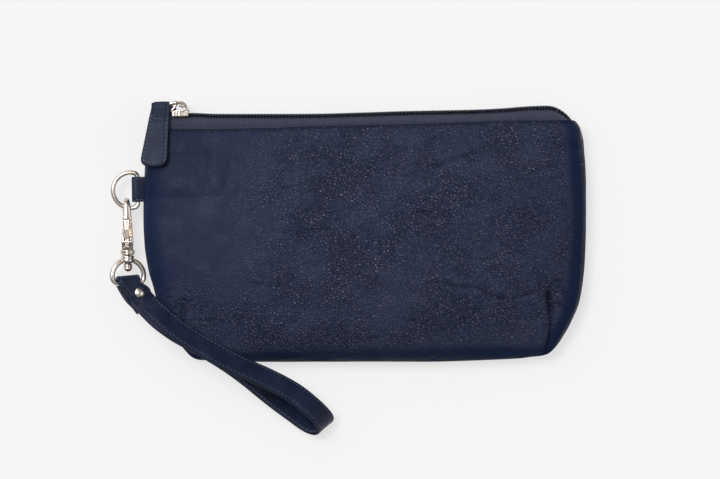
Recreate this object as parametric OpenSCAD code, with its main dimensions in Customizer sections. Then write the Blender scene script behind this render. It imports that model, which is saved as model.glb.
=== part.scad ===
// Wristlet wallet: a soft leather zip pouch lying on its back, with a wrist strap
// clipped by a swivel hook to a D-ring on its left side.
// +Z points up out of the front, +Y towards the zip, +X to the right.

/* [Pouch] */
// Height of the side seam above the surface that the pouch lies on
seam_z = 9; // [8.9:0.05:9.1]
// Thickness of the leather
leather_t = 1.2; // [1:0.1:1.3]
// Thickness of the lining cloth
lining_t = 0.4; // [0.3:0.1:0.5]
// Depth of the dent that the strap presses into the lower left corner, as a share
strap_dent = 0.42; // [0.4:0.01:0.48]

/* [Zip] */
// Length of one tooth and gap of the coil
coil_pitch = 1.5; // [1.5:0.1:1.8]
// Width of one tooth of the coil
tooth_w = 0.62; // [0.5:0.02:0.66]
// Thickness of the woven tape
tape_t = 0.5; // [0.4:0.05:0.5]

/* [Hardware] */
// Radius of the D-ring's wire
ring_wire_r = 1.1; // [1:0.05:1.15]
// Radius of the swivel loop's wire
loop_wire_r = 1.25; // [1.1:0.05:1.3]
// Radius of the zip link's wire
link_wire_r = 0.6; // [0.5:0.05:0.65]
// Running clearance round the pins
running_gap = 0.06; // [0.04:0.01:0.08]

/* [Strap] */
// Width of the strap
strap_w = 10.8; // [10:0.1:11]
// Thickness of the strap, which is two layers of leather
strap_t = 2; // [1.8:0.1:2]

/* [Hidden] */
$fn = 48;

navy = "#262e4a";
navy_dark = "#1a2138";
navy_zip = "#14182a";
lining_blue = "#3a4258";
nickel = "#c9c6c2";

pouch_bottom = -60.2;
pouch_top = 53.2;
// Distance from the middle to the right and left edges at each height up the pouch
right_edge = [[-60.2, 79], [-59.6, 83], [-58, 86.4], [-55, 89.3], [-50, 92.7], [-43, 96.8],
    [-32, 101.4], [-15, 104], [5, 105], [20, 105.2], [42, 103.7], [53.2, 101.6]];
left_edge = [[-60.2, 79], [-59.6, 82], [-58, 84.4], [-55, 86.8], [-50, 90.2], [-43, 93.8],
    [-32, 98.4], [-22, 101], [-14, 103.1], [-2, 104.7], [8, 105], [18, 104.8], [32, 103.5],
    [53.2, 101.6]];
// How far the front stands out of the seam plane along the pouch's middle
front_rise = [[-60.2, 0], [-59.6, 2.6], [-58, 5.6], [-55, 8.9], [-50, 12], [-42, 14.9],
    [-30, 16.6], [-18, 17], [0, 16], [20, 12.6], [40, 8.2], [53.2, 5.4]];
// The same for the back, which the table then cuts flat
back_rise = [[-60.2, 0], [-59.6, 2.4], [-58, 4.6], [-55, 6.8], [-50, 9.2], [-45, 9.8],
    [40, 9.8], [47, 7.8], [53.2, 5.4]];
// How square the section is: 2 is an ellipse, and a large number a box
squareness = [[-60.2, 2.2], [20, 2.3], [40, 4], [53.2, 14]];
side_steps = 30;
row_ys = [-60.2, -59.6, -58, -55, -50, -45, -40, -34, -27, -18, -8, 3, 14, 24, 33, 41,
    48, 53.2];
// Middle and half-lengths of the dent under the strap
dent_at = [-82, -43];
dent_angle = -33.4;
dent_long = 30;
dent_wide = 14;

lining_gap = 1.2;
lining_ys = [-60.2, -58, -54, -48, -40, -27, -8, 14, 33, 46.7];

zip_y = 57.7;
zip_top_y = 59.8;
chain_x0 = -85;
chain_x1 = 90;
slider_x0 = -91;
slider_x1 = -82;

bar_x = -107.4;
ring_mid = [-110.7, 23.6];
ring_r = 8.4;
tab_y0 = 18.1;
tab_y1 = 29.9;

hook_x = -112.6;
hook_y = 15.4;
hook_w = 4.3;
gate_axis = [-0.8, 12.2];
gate_w = 2.2;
loop_mid_y = -17;
loop_r = 7.7;
loop_bar_y = -20.4;
loop_tilt = 16;

link_eye = [-86.4, 63.2];
link_z = 3.5;
link_leg_y = 63.9;
tab_leg_z = seam_z + link_z;

// Turns an (X, Y) drawing into one in the (Y, Z) plane, extruded along X
module along_x(length) rotate([90, 0, 90]) linear_extrude(length, center = true) children();

// Turns an (X, Y) drawing into one in the (X, Z) plane, extruded along Y
module along_y(length) rotate([90, 0, 0]) linear_extrude(length, center = true) children();

module rod_x(length, r) rotate([0, 90, 0]) cylinder(h = length, r = r, center = true);

module rod_y(length, r) rotate([90, 0, 0]) cylinder(h = length, r = r, center = true);

function unit(v) = v / norm(v);

// Outline of a bent strip of thickness t whose middle follows the points
function strip(points, t) = let (
    last = len(points) - 1,
    side = [for (i = [0:last]) let (
        d = unit(points[min(i + 1, last)] - points[max(i - 1, 0)])) [-d[1], d[0]]])
    concat([for (i = [0:last]) points[i] + side[i] * t / 2],
        [for (i = [last:-1:0]) points[i] - side[i] * t / 2]);

// ---- pouch ----

function dent(x, y) = let (
    dx = x - dent_at[0],
    dy = y - dent_at[1],
    along = dx * cos(dent_angle) + dy * sin(dent_angle),
    across = -dx * sin(dent_angle) + dy * cos(dent_angle))
    1 - strap_dent * exp(-pow(along / dent_long, 2) - pow(across / dent_wide, 2));

// Height above the seam plane at share u of the half-width, inset under the surface
function rise(u, y, table, inset) = let (
    p = lookup(y, squareness),
    full = lookup(y, table),
    h = full * pow(max(0, 1 - pow(abs(u), p)), 1 / p))
    h <= 0 ? 0 : h * full / (full + inset);

// One surface of a panel as rows of points, from the bottom seam to the mouth
function panel_rows(table, inset, side, ys) = let (
    squeeze = (pouch_top - pouch_bottom - inset) / (pouch_top - pouch_bottom))
    [for (y = ys) let (
        placed = pouch_top - (pouch_top - y) * squeeze)
        [for (k = [0:side_steps]) let (
            u = sin(-90 + 180 * k / side_steps),
            w = lookup(y, u > 0 ? right_edge : left_edge) - inset,
            h = rise(u, y, table, inset) * (side > 0 ? dent(w * u, y) : 1),
            z = side > 0 ? h : -min(h, inset > 0 ? seam_z - inset : seam_z + 1))
            [w * u, placed, seam_z + z]]];

function flatten(rows) = [for (row = rows) for (point = row) point];

// A shell between an outer and an inner surface with the same grid of points
module shell(outer, inner, side) {
    rows = len(outer);
    cols = len(outer[0]);
    count = rows * cols;
    faces = concat(
        [for (i = [0:rows - 2]) for (j = [0:cols - 2]) let (
            a = i * cols + j,
            b = a + cols)
            each [[a, b, b + 1], [a, b + 1, a + 1],
                [count + a, count + b + 1, count + b], [count + a, count + a + 1, count + b + 1]]],
        [for (j = [0:cols - 2]) each [
            [j, j + 1, count + j + 1], [j, count + j + 1, count + j],
            [count - cols + j, 2 * count - cols + j, 2 * count - cols + j + 1],
            [count - cols + j, 2 * count - cols + j + 1, count - cols + j + 1]]],
        [for (i = [0:rows - 2]) let (
            a = i * cols,
            b = a + cols - 1)
            each [[a, count + a, count + a + cols], [a, count + a + cols, a + cols],
                [b, count + b + cols, count + b], [b, b + cols, count + b + cols]]]);
    turned = side > 0 ? faces : [for (f = faces) [f[2], f[1], f[0]]];
    polyhedron(concat(flatten(outer), flatten(inner)), turned);
}

module panel(table, inset, t, side, ys)
    shell(panel_rows(table, inset, side, ys), panel_rows(table, inset + t, side, ys), side);

// Opening in the side seam that the ring's leather loop is sewn into
module tab_slot()
    translate([-102, (tab_y0 + tab_y1) / 2, seam_z])
        cube([8, tab_y1 - tab_y0 + 0.2, 2.1], center = true);

module front_panel() color(navy) difference() {
    panel(front_rise, 0, leather_t, 1, row_ys);
    tab_slot();
}

module back_panel() color(navy) difference() {
    panel(back_rise, 0, leather_t, -1, row_ys);
    tab_slot();
    translate([0, 0, -5]) cube([240, 160, 10], center = true);
}

module lining(table, side) color(lining_blue) difference() {
    panel(table, leather_t + lining_gap, lining_t, side, lining_ys);
    tab_slot();
}

module lining_front() lining(front_rise, 1);
module lining_back() lining(back_rise, -1);

// A flat sheet sewn onto the back lining
module slip_pocket() color(lining_blue)
    translate([0, -6, leather_t + lining_gap + lining_t])
        linear_extrude(lining_t) offset(r = 4) square([110, 50], center = true);

// ---- zip ----

// Middle line of the front tape, as height along Y and distance from the seam plane
tape_line = [[57.2, 1.6], [57.2, 2.5], [57.1, 3.4], [56.2, 4.2], [54.8, 4.15], [53.2, 3.95],
    [50, 4.6], [47.2, 5.15]];
tape_end_x = 91;

module tape() along_x(2 * tape_end_x) polygon(strip(tape_line, tape_t));

module zip_tape_front() color(navy) translate([0, 0, seam_z]) tape();
module zip_tape_back() color(navy) translate([0, 0, seam_z]) mirror([0, 0, 1]) tape();

tooth_tip = -0.8;
tooth_root = 1.8;
comb_back = 3;
teeth = floor((chain_x1 - chain_x0) / coil_pitch) - 1;

// One side of the coil: a spine along the tape with a tooth for each turn
module comb(start) along_y(zip_top_y - zip_y) polygon(concat(
    [[chain_x0, comb_back], [chain_x0, tooth_root]],
    [for (i = [0:teeth - 1]) let (x = chain_x0 + start + i * coil_pitch)
        each [[x, tooth_root], [x, tooth_tip], [x + tooth_w, tooth_tip], [x + tooth_w, tooth_root]]],
    [[chain_x1, tooth_root], [chain_x1, comb_back]]));

module zip_coil_front() color(navy_zip)
    translate([0, (zip_y + zip_top_y) / 2, seam_z]) comb(0.3);

module zip_coil_back() color(navy_zip)
    translate([0, (zip_y + zip_top_y) / 2, seam_z]) mirror([0, 0, 1]) comb(0.3 + coil_pitch / 2);

module zip_top_stops() color(nickel)
    for (side = [-1, 1])
        translate([-92.6, 58.6, seam_z + side * 1.9]) cube([1.6, 1.8, 1.6], center = true);

module zip_bottom_stop() color(nickel)
    translate([91.6, 58.7, seam_z]) cube([2, 2.2, 4.6], center = true);

// ---- slider and pull ----

slider_mid = (slider_x0 + slider_x1) / 2;
slider_len = slider_x1 - slider_x0;
plate_half = 4.2;
plate_y0 = 60;
plate_t = 1;
plate_top = plate_y0 + plate_t;
crown_foot = 1.2;
under_y0 = 55.5;
under_half = 2.9;

module slider_body() color(nickel) translate([slider_mid, 0, seam_z]) {
    along_x(slider_len) {
        translate([plate_y0, -plate_half]) square([plate_t, 2 * plate_half]);
        translate([under_y0, -under_half]) square([1, 2 * under_half]);
        for (side = [-1, 1]) {
            translate([57.75, side * 3.75 - 0.45]) square([plate_y0 + 0.2 - 57.75, 0.9]);
        }
    }
    translate([-3, (under_y0 + plate_y0) / 2 + 0.3, 0])
        cube([2.6, plate_y0 - under_y0 + 0.2, 1.7], center = true);
}

// Arched bridge on the slider with a cross hole for the link
module slider_crown() color(nickel) translate([0, 0, seam_z]) difference() {
    union() {
        translate([link_eye[0], link_eye[1], 0]) cylinder(h = 2.2, r = 1.75, center = true);
        translate([link_eye[0], plate_top + crown_foot / 2, 0])
            cube([6.4, crown_foot, 2.2], center = true);
    }
    translate([link_eye[0], link_eye[1], 0])
        cylinder(h = 4, r = link_wire_r + running_gap, center = true);
    translate([link_eye[0], plate_top - 1, 0]) cube([8, 2, 4], center = true);
}

link_left_x = -101.2;
link_bend = [-90.6, link_leg_y];
link_cross_r = link_wire_r - 0.05;
knuckle_r = link_wire_r + 0.12;
knuckle_t = 2 * link_wire_r + 0.04;

// Wire ring that lies flat over the slider: two straight legs, each bent down at a flat
// knuckle, with a cross bar at the far end and one through the crown
module pull_link() color(nickel) {
    leg_len = link_bend[0] - link_left_x + link_wire_r;
    for (side = [-1, 1]) translate([0, 0, seam_z + side * link_z]) {
        translate([link_bend[0] - leg_len / 2, link_leg_y, 0]) rod_x(leg_len, link_wire_r);
        linear_extrude(knuckle_t, center = true) {
            polygon(strip([link_bend, link_eye], 2 * link_wire_r));
            for (at = [link_bend, link_eye]) translate(at) circle(r = knuckle_r);
        }
    }
    translate([link_left_x, link_leg_y, seam_z])
        cylinder(h = 2 * link_z, r = link_cross_r, center = true);
    translate([link_eye[0], link_eye[1], seam_z])
        cylinder(h = 2 * link_z, r = link_wire_r, center = true);
}

// Side view of the leather pull from its fold over the link to its free end
pull_line = [[62.4, 13.1], [60, 14.1], [57, 15.3], [53, 16.5], [46, 18.1], [40, 19.4], [34, 20.6]];
pull_outline = [[-99.9, 67], [-99.9, 63.4], [-105.3, 38.2], [-102.7, 34.8], [-96.1, 34.4],
    [-93.1, 36.3], [-91.9, 56], [-91.5, 67]];

module pull_tab() color(navy) difference() {
    intersection() {
        translate([-98.5, 0, 0]) union() {
            translate([0, link_leg_y, tab_leg_z]) rod_x(16, link_wire_r + 1.15);
            along_x(16) polygon(strip(pull_line, 2));
        }
        linear_extrude(40) polygon(pull_outline);
    }
    translate([-98.5, link_leg_y, tab_leg_z]) rod_x(20, link_wire_r + running_gap);
}

// ---- D-ring and hook ----

// Leather loop round the ring's bar, whose ends are sewn into the side seam
module ring_tab() color(navy) translate([0, (tab_y0 + tab_y1) / 2, seam_z]) difference() {
    length = tab_y1 - tab_y0;
    union() {
        translate([bar_x, 0, 0]) rod_y(length, ring_wire_r + running_gap + 1.2);
        along_y(length) polygon([[bar_x + 1, 2.1], [-105.1, 1], [-98.5, 1],
            [-98.5, -1], [-105.1, -1], [bar_x + 1, -2.1]]);
    }
    translate([bar_x, 0, 0]) rod_y(length + 2, ring_wire_r + running_gap);
}

// A wire ring bent from an arc of radius r closed by a straight bar, open towards +X.
// The bar stands at the distance bar from the arc's middle.
module d_wire(r, bar, wire) {
    half = acos(bar / r);
    rotate([0, 0, half]) rotate_extrude(angle = 360 - 2 * half, $fn = 96)
        translate([r, 0]) circle(r = wire);
    translate([bar, 0, 0]) rod_y(2 * r * sin(half), wire);
    for (side = [-1, 1])
        translate([bar, side * r * sin(half), 0]) sphere(r = wire + 0.04);
}

module d_ring() color(nickel) translate([ring_mid[0], ring_mid[1], seam_z])
    d_wire(ring_r, bar_x - ring_mid[0], ring_wire_r);

eye_r = 2.4;
nose_r = 4.6;
base_half = 5;
base_y0 = -4.5;
slot_half = gate_w / 2 + 0.25;

// Side view of the hook: spine below, nose above, and the gap that the gate closes
module hook_profile() difference() {
    union() {
        translate([hook_y, 0]) circle(r = nose_r);
        polygon([[base_y0, -3.6], [-1, -base_half], [2, -base_half], [hook_y, -nose_r],
            [hook_y, nose_r], [9.6, nose_r + 0.2], [4, base_half], [-1, base_half],
            [base_y0, 3.6]]);
    }
    translate([hook_y, 0]) circle(r = eye_r);
    translate([1.6, -eye_r]) square([hook_y - 1.6, 2 * eye_r]);
    translate([1.6, 0]) square([8.4, 8]);
}

module hook_body() color(nickel) translate([hook_x, 0, seam_z]) difference() {
    union() {
        along_x(hook_w) hook_profile();
        translate([0, -5.75, 0]) rod_y(2.5, 3.4);
    }
    translate([0, -1.2, 4]) cube([2 * slot_half, 7.2, 6.6], center = true);
    translate([0, gate_axis[0], gate_axis[1] - seam_z]) rod_x(hook_w + 2, 0.6);
    translate([0, -6, 0]) rod_y(4, 1.1);
}

module gate_pin() color(nickel) translate([hook_x, gate_axis[0], gate_axis[1]])
    rod_x(hook_w, 0.6);

// Swivel stud fixed in the hook's collar, with a ball head
module swivel_pin() color(nickel) translate([hook_x, 0, seam_z]) {
    translate([0, -8.6, 0]) rod_y(9.2, 1.1);
    translate([0, -13.4, 0]) sphere(r = 2.1);
}

// Leaf spring in the hook's slot that holds the gate up
module gate_spring() color(nickel) translate([hook_x, 0, seam_z])
    along_x(1.6) polygon(strip([[-3.8, 1], [-1.5, 1.05], [0.6, 1.25], [2.2, 1.95]], 0.3));

module hook_gate() color(nickel) translate([hook_x, 0, seam_z])
    difference() {
        union() {
            translate([0, gate_axis[0], gate_axis[1] - seam_z]) rod_x(gate_w, 1.3);
            along_x(gate_w) polygon([[-1.4, 4.2], [-2, 5.6], [-3.6, 6.1], [-4.2, 5.6],
                [-2.4, 4.4], [-1.8, 2.8], [0, 1.95], [5, 2.6], [9.7, 2.6], [9.7, 4.2], [5, 4.4]]);
        }
        translate([0, gate_axis[0], gate_axis[1] - seam_z]) rod_x(6, 0.6 + running_gap);
    }

boss_r = 3.2;

// D-shaped loop with a boss that turns on the hook's stud
module swivel_loop() color(nickel) translate([hook_x, 0, seam_z]) rotate([0, loop_tilt, 0])
    difference() {
        union() {
            translate([0, loop_mid_y, 0]) rotate([0, 0, -90])
                d_wire(loop_r, loop_mid_y - loop_bar_y, loop_wire_r);
            translate([0, -9.1, 0]) rod_y(3.8, boss_r);
        }
        translate([0, -9.1, 0]) rod_y(6, 1.1 + running_gap);
    }

// ---- strap ----

fold_r = loop_wire_r + 0.5 + strap_t / 2;
bar_at = [hook_x, loop_bar_y, seam_z];
layer_gap = strap_t + 0.3;

// Direction across the strap for a heading of the width vector and a roll about the run
function across(az, roll) = [cos(az) * cos(roll), sin(az) * cos(roll), -sin(roll)];

// Direction out of the strap's upper face, when its run is level
function out_of(az, roll) = [cos(az) * sin(roll), sin(az) * sin(roll), cos(roll)];

fold_az = 4;
rivet_at = [-108, -25.4, 9.3];
rivet_az = 26;
rivet_roll = 18;

// Stations are [x, y, z, heading of the width vector, roll]. This one lies in a layer of
// the stack at the rivet: lifted out of its middle, slid across it and run on along it.
function stacked(lift, slide, run) = let (
    p = rivet_at + out_of(rivet_az, rivet_roll) * lift + across(rivet_az, rivet_roll) * slide
        + [sin(rivet_az), -cos(rivet_az), 0] * run)
    [p[0], p[1], p[2], rivet_az, rivet_roll];

tail_run = [[-104.9, -32, 6.6, 38, 27], [-106.6, -29.6, 6.7, 33, 24],
    stacked(-layer_gap, -1.2, 0)];
fold_run = [for (turn = [180:-22.5:0]) let (
    p = bar_at + fold_r * (cos(turn) * out_of(fold_az, loop_tilt)
        + sin(turn) * [-sin(fold_az), cos(fold_az), 0]))
    [p[0], p[1], p[2], fold_az, loop_tilt]];
top_run = [stacked(layer_gap, 0, 0), stacked(layer_gap, 0, 2.6),
    [-101.8, -31.9, 16.6, 38, 28],
    [-96, -37.2, 20, 44, 33], [-89.1, -43.1, 21.3, 50, 33],
    [-83, -47.4, 21.6, 54, 33], [-76.5, -51.3, 21.6, 57, 33], [-67, -57, 22, 62, 32],
    [-57.6, -61.8, 20.2, 64, 32], [-49.5, -65.6, 18, 63, 32], [-41.3, -69.8, 16.4, 60, 32],
    [-33.6, -74.6, 15.8, 53, 31]];
turn_run = [[-27.6, -79.6, 15.4, 47, 30], [-23.3, -83.8, 14, 41, 30],
    [-20.9, -87, 11.4, 39, 30], [-20.6, -89.3, 8.4, 39, 30], [-22.2, -90.3, 5.7, 40, 30],
    [-25.4, -89.6, 4.5, 42, 30], [-29.2, -87.4, 4.4, 45, 30]];
low_run = [[-35.5, -82.6, 4.9, 50, 30], [-42.9, -77.2, 6.4, 53, 30],
    [-50.2, -71.6, 9.8, 55, 31], [-57.3, -66.4, 14.6, 56, 32], [-66.5, -60.2, 19, 56, 32],
    [-77.5, -52.9, 19.2, 55, 33], [-84, -48.5, 19, 53, 33], [-90.2, -44.2, 18.7, 49, 33],
    [-97.2, -38.2, 17.2, 43, 32], [-102.8, -32.6, 13.9, 37, 28], stacked(0, 0, 2.6),
    stacked(0, 0, 0), stacked(0, 0, -1.7)];
strap_route = concat(tail_run, fold_run, top_run, turn_run, low_run);

edge_cut = 0.35;
half_w = strap_w / 2;
half_t = strap_t / 2;
strap_section = [[-half_w, -half_t + edge_cut], [-half_w + edge_cut, -half_t],
    [half_w - edge_cut, -half_t], [half_w, -half_t + edge_cut],
    [half_w, half_t - edge_cut], [half_w - edge_cut, half_t],
    [-half_w + edge_cut, half_t], [-half_w, half_t - edge_cut]];

// A point between the stations, on a smooth curve through them
function between(route, i, share) = let (
    last = len(route) - 1,
    a = route[max(i - 1, 0)],
    b = route[i],
    c = route[min(i + 1, last)],
    d = route[min(i + 2, last)])
    0.5 * (2 * b + (c - a) * share + (2 * a - 5 * b + 4 * c - d) * pow(share, 2)
        + (3 * b - a - 3 * c + d) * pow(share, 3));

// A section swept along the stations, with the given number of rings to each
module ribbon(route, section, rings_each) {
    fine = concat([for (i = [0:len(route) - 2]) for (k = [0:rings_each - 1])
        between(route, i, k / rings_each)], [route[len(route) - 1]]);
    last = len(fine) - 1;
    points = [for (i = [0:last]) let (
        s = fine[i],
        ahead = fine[min(i + 1, last)] - fine[max(i - 1, 0)],
        wide = across(s[3], s[4]),
        up = unit(cross(unit([ahead[0], ahead[1], ahead[2]]), wide)))
        for (q = section) [s[0], s[1], s[2]] + wide * q[0] - up * q[1]];
    n = len(section);
    polyhedron(points, concat(
        [[for (j = [n - 1:-1:0]) j]],
        [[for (j = [0:n - 1]) last * n + j]],
        [for (i = [0:last - 1]) for (j = [0:n - 1]) let (
            a = i * n + j,
            b = i * n + (j + 1) % n)
            each [[a, b, b + n], [a, b + n, a + n]]]));
}

module at_rivet() translate(rivet_at) rotate([0, rivet_roll, rivet_az]) children();

rivet_r = 1.1;
stack_half = layer_gap + half_t;

module wrist_strap() color(navy_dark) difference() {
    ribbon(strap_route, strap_section, 2);
    at_rivet() cylinder(h = 3 * stack_half, r = rivet_r + running_gap, center = true);
}

module rivet_cap() color(nickel) at_rivet() translate([0, 0, stack_half + 0.1])
    intersection() {
        translate([0, 0, -3]) sphere(r = 4);
        cylinder(h = 2, r = 2.5);
    }

module rivet_post() color(nickel) at_rivet() {
    cylinder(h = 2 * stack_half + 0.2, r = rivet_r, center = true);
    translate([0, 0, -stack_half - 0.5]) cylinder(h = 0.4, r = 2.2);
}

front_panel();
back_panel();
lining_front();
lining_back();
slip_pocket();
zip_tape_front();
zip_tape_back();
zip_coil_front();
zip_coil_back();
zip_top_stops();
zip_bottom_stop();
slider_body();
slider_crown();
pull_link();
pull_tab();
ring_tab();
d_ring();
hook_body();
swivel_pin();
gate_pin();
gate_spring();
hook_gate();
swivel_loop();
wrist_strap();
rivet_cap();
rivet_post();
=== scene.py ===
"""Looks of a navy leather wristlet wallet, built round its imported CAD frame.

The tables hold millimetres, as the CAD does, and MM turns them into Blender's metres.
"""

import math

import bmesh
import bpy
import numpy as np
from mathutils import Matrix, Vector


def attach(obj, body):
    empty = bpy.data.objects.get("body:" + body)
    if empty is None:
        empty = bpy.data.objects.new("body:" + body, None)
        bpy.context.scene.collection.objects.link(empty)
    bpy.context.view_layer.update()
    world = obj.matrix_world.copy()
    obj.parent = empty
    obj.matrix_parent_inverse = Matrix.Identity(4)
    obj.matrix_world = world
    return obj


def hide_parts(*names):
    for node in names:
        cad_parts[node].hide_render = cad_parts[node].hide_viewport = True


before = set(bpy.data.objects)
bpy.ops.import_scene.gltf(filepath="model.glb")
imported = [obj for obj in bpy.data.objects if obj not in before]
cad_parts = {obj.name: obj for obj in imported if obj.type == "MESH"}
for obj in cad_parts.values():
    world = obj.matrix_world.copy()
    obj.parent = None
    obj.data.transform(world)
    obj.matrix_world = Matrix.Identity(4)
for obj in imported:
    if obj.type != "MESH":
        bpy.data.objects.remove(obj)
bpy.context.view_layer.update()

MM = 0.001
SEAM_Z = 9.0
LEATHER_T = 1.2
POUCH_BOTTOM = -60.2
POUCH_TOP = 53.2


# ---- numbers and curves ----

def smooth_lookup(x, table):
    """Values of a table of (x, value) pairs, read on a smooth curve that doesn't overshoot."""
    xs, ys = np.array(table, float).T
    step = np.diff(xs)
    slope = np.diff(ys) / step
    product = slope[:-1] * slope[1:]
    total = slope[:-1] + slope[1:]
    inner = np.where(product > 0, 2 * product / np.where(total == 0, 1, total), 0)
    tangent = np.concatenate([slope[:1], inner, slope[-1:]])
    x = np.clip(x, xs[0], xs[-1])
    i = np.clip(np.searchsorted(xs, x, side="right") - 1, 0, len(step) - 1)
    t = (x - xs[i]) / step[i]
    return (ys[i] * (1 + 2 * t) * (1 - t) ** 2 + ys[i + 1] * t ** 2 * (3 - 2 * t)
            + step[i] * t * (1 - t) * (tangent[i] * (1 - t) - tangent[i + 1] * t))


def catmull(points, per_span):
    """Points on a smooth curve through the given ones, per_span to each gap."""
    p = np.array(points, float)
    p = np.vstack([p[:1], p, p[-1:]])
    t = (np.arange(per_span) / per_span)[None, :, None]
    a, b, c, d = (p[k:len(p) - 3 + k, None, :] for k in range(4))
    fine = 0.5 * (2 * b + (c - a) * t + (2 * a - 5 * b + 4 * c - d) * t ** 2
                  + (3 * b - a - 3 * c + d) * t ** 3)
    return np.vstack([fine.reshape(-1, p.shape[1]), p[-1:]])


def unit(v):
    """Vectors scaled to length one."""
    return v / np.maximum(np.linalg.norm(v, axis=-1, keepdims=True), 1e-9)


def fade(x, low, high):
    """0 below low, 1 above high, and smooth between."""
    t = np.clip((x - low) / (high - low), 0, 1)
    return t * t * (3 - 2 * t)


def bell(x, wide, middle=0):
    """1 at the middle, falling to 0 on both sides of it."""
    return np.exp(-((x - middle) / wide) ** 2)


def full_turn(count):
    """Angles at even steps round a circle."""
    return np.arange(count) * 2 * math.pi / count


def heading(path, axis=0):
    """Directions along a line of points."""
    return unit(np.gradient(path, axis=axis))


def length_along(points):
    """Distance along a line of points, from its start."""
    return np.concatenate([[0], np.cumsum(np.linalg.norm(np.diff(points, axis=0), axis=1))])


def even(points, count):
    """The same line as count points at even distances."""
    run = length_along(points)
    at = np.linspace(0, run[-1], count)
    return np.stack([np.interp(at, run, points[:, k]) for k in range(points.shape[1])], 1)


def arc(centre, radius, start, end, count):
    """Points on an arc, in degrees."""
    turn = np.radians(np.linspace(start, end, count))
    return [(centre[0] + radius * math.cos(t), centre[1] + radius * math.sin(t)) for t in turn]


NOISE_SIZE = 64


def noise(x, y, cell, seed):
    """Smooth noise from -1 to 1 over the plane, with the given cell size in X and Y."""
    slope = np.random.default_rng(seed).uniform(0, 2 * math.pi, (NOISE_SIZE, NOISE_SIZE))
    gx, gy = x / cell[0], y / cell[1]
    ix, iy = np.floor(gx).astype(int), np.floor(gy).astype(int)
    tx, ty = gx - ix, gy - iy
    fx, fy = (t ** 3 * (t * (6 * t - 15) + 10) for t in (tx, ty))

    def corner(dx, dy):
        a = slope[(ix + dx) % NOISE_SIZE, (iy + dy) % NOISE_SIZE]
        return np.cos(a) * (tx - dx) + np.sin(a) * (ty - dy)

    low = corner(0, 0) * (1 - fx) + corner(1, 0) * fx
    high = corner(0, 1) * (1 - fx) + corner(1, 1) * fx
    return 1.6 * (low * (1 - fy) + high * fy)


# ---- meshes ----

def mesh_object(name, points, faces, materials, face_slots=None, marks=None):
    """A smooth-shaded object from points in millimetres, with its faces turned outwards.
    marks are named shares per point that the materials read."""
    mesh = bpy.data.meshes.new(name)
    mesh.from_pydata((np.asarray(points, float) * MM).tolist(), [], faces)
    for material in materials:
        mesh.materials.append(material)
    if face_slots is not None:
        mesh.polygons.foreach_set("material_index", face_slots)
    shell = bmesh.new()
    shell.from_mesh(mesh)
    bmesh.ops.recalc_face_normals(shell, faces=shell.faces)
    shell.to_mesh(mesh)
    shell.free()
    for word, shares in (marks or {}).items():
        layer = mesh.attributes.new(word, "FLOAT", "POINT")
        layer.data.foreach_set("value", np.asarray(shares, np.float32).ravel())
    mesh.shade_smooth()
    obj = bpy.data.objects.new(name, mesh)
    bpy.context.scene.collection.objects.link(obj)
    return obj


def place(obj, body, slot, *nodes):
    """Hangs a piece on the body that it rides on and hides the CAD nodes it stands for; slot, its
    finish, is not used.
    """
    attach(obj, body)
    if nodes:
        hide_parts(*nodes)
    return obj


def grid_faces(rows, cols, wrap=False):
    """Quads between neighbouring points of a grid that is stored row by row."""
    i = np.arange(rows - 1)[:, None]
    j = np.arange(cols if wrap else cols - 1)[None, :]
    a = i * cols + j
    b = i * cols + (j + 1) % cols
    return np.stack([a, b, b + cols, a + cols], -1).reshape(-1, 4).tolist()


def capped_faces(count, sides):
    """Faces over rings of points with a cap at each end, all of them facing outwards."""
    last = (count - 1) * sides
    return grid_faces(count, sides, wrap=True) + [list(range(sides))[::-1],
                                                  list(range(last, last + sides))]


def tube_faces(count, sides, joined):
    """Faces of a skin over rings, joined to its own start or capped at both ends."""
    faces = grid_faces(count, sides, wrap=True)
    last = (count - 1) * sides
    if joined:
        return faces + [[last + j, last + (j + 1) % sides, (j + 1) % sides, j] for j in range(sides)]
    return faces + [list(range(sides)), list(range(last, last + sides))]


def skin(name, rings, materials, joined=False, slots=None, marks=None):
    """A closed skin over rings of points. slots gives the material of each side of a ring."""
    count, sides, _ = rings.shape
    face_slots = list(slots) * (count - 1) + [max(slots)] * 2 if slots else None
    return mesh_object(name, rings.reshape(-1, 3), tube_faces(count, sides, joined), materials,
                       face_slots, marks)


def carried_normals(path, first):
    """A side direction carried along a path without twist."""
    side = np.zeros_like(path)
    last = np.array(first, float)
    for i, ahead in enumerate(heading(path)):
        last = last - ahead * np.dot(last, ahead)
        last = last / np.linalg.norm(last)
        side[i] = last
    return side


def ring_points(path, first, second, radius, sides):
    """Round rings along a path, each in the plane of its two side directions."""
    turn = full_turn(sides)
    radius = np.broadcast_to(radius, len(path))[:, None, None]
    return path[:, None, :] + radius * (first[:, None, :] * np.cos(turn)[None, :, None]
                                        + second[:, None, :] * np.sin(turn)[None, :, None])


def tube_rings(path, radius, sides):
    """Rings of a round wire along a path."""
    ahead = heading(path)
    first = carried_normals(path, np.eye(3)[np.argmin(np.abs(ahead[0]))])
    return ring_points(path, first, np.cross(ahead, first), radius, sides)


def wire_rings(path, radius, sides):
    """Rings of a closed round wire that lies level."""
    side = np.tile((0, 0, 1.0), (len(path), 1))
    closed = np.vstack([path[-1:], path, path[:1]])
    ahead = heading(closed)[1:-1]
    return ring_points(path, side, np.cross(ahead, side), radius, sides)


def joined_parts(parts):
    """Several (points, faces) as one."""
    points, faces = [], []
    for part_points, part_faces in parts:
        faces += [[i + len(points) for i in face] for face in part_faces]
        points += [list(p) for p in part_points]
    return points, faces


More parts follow.
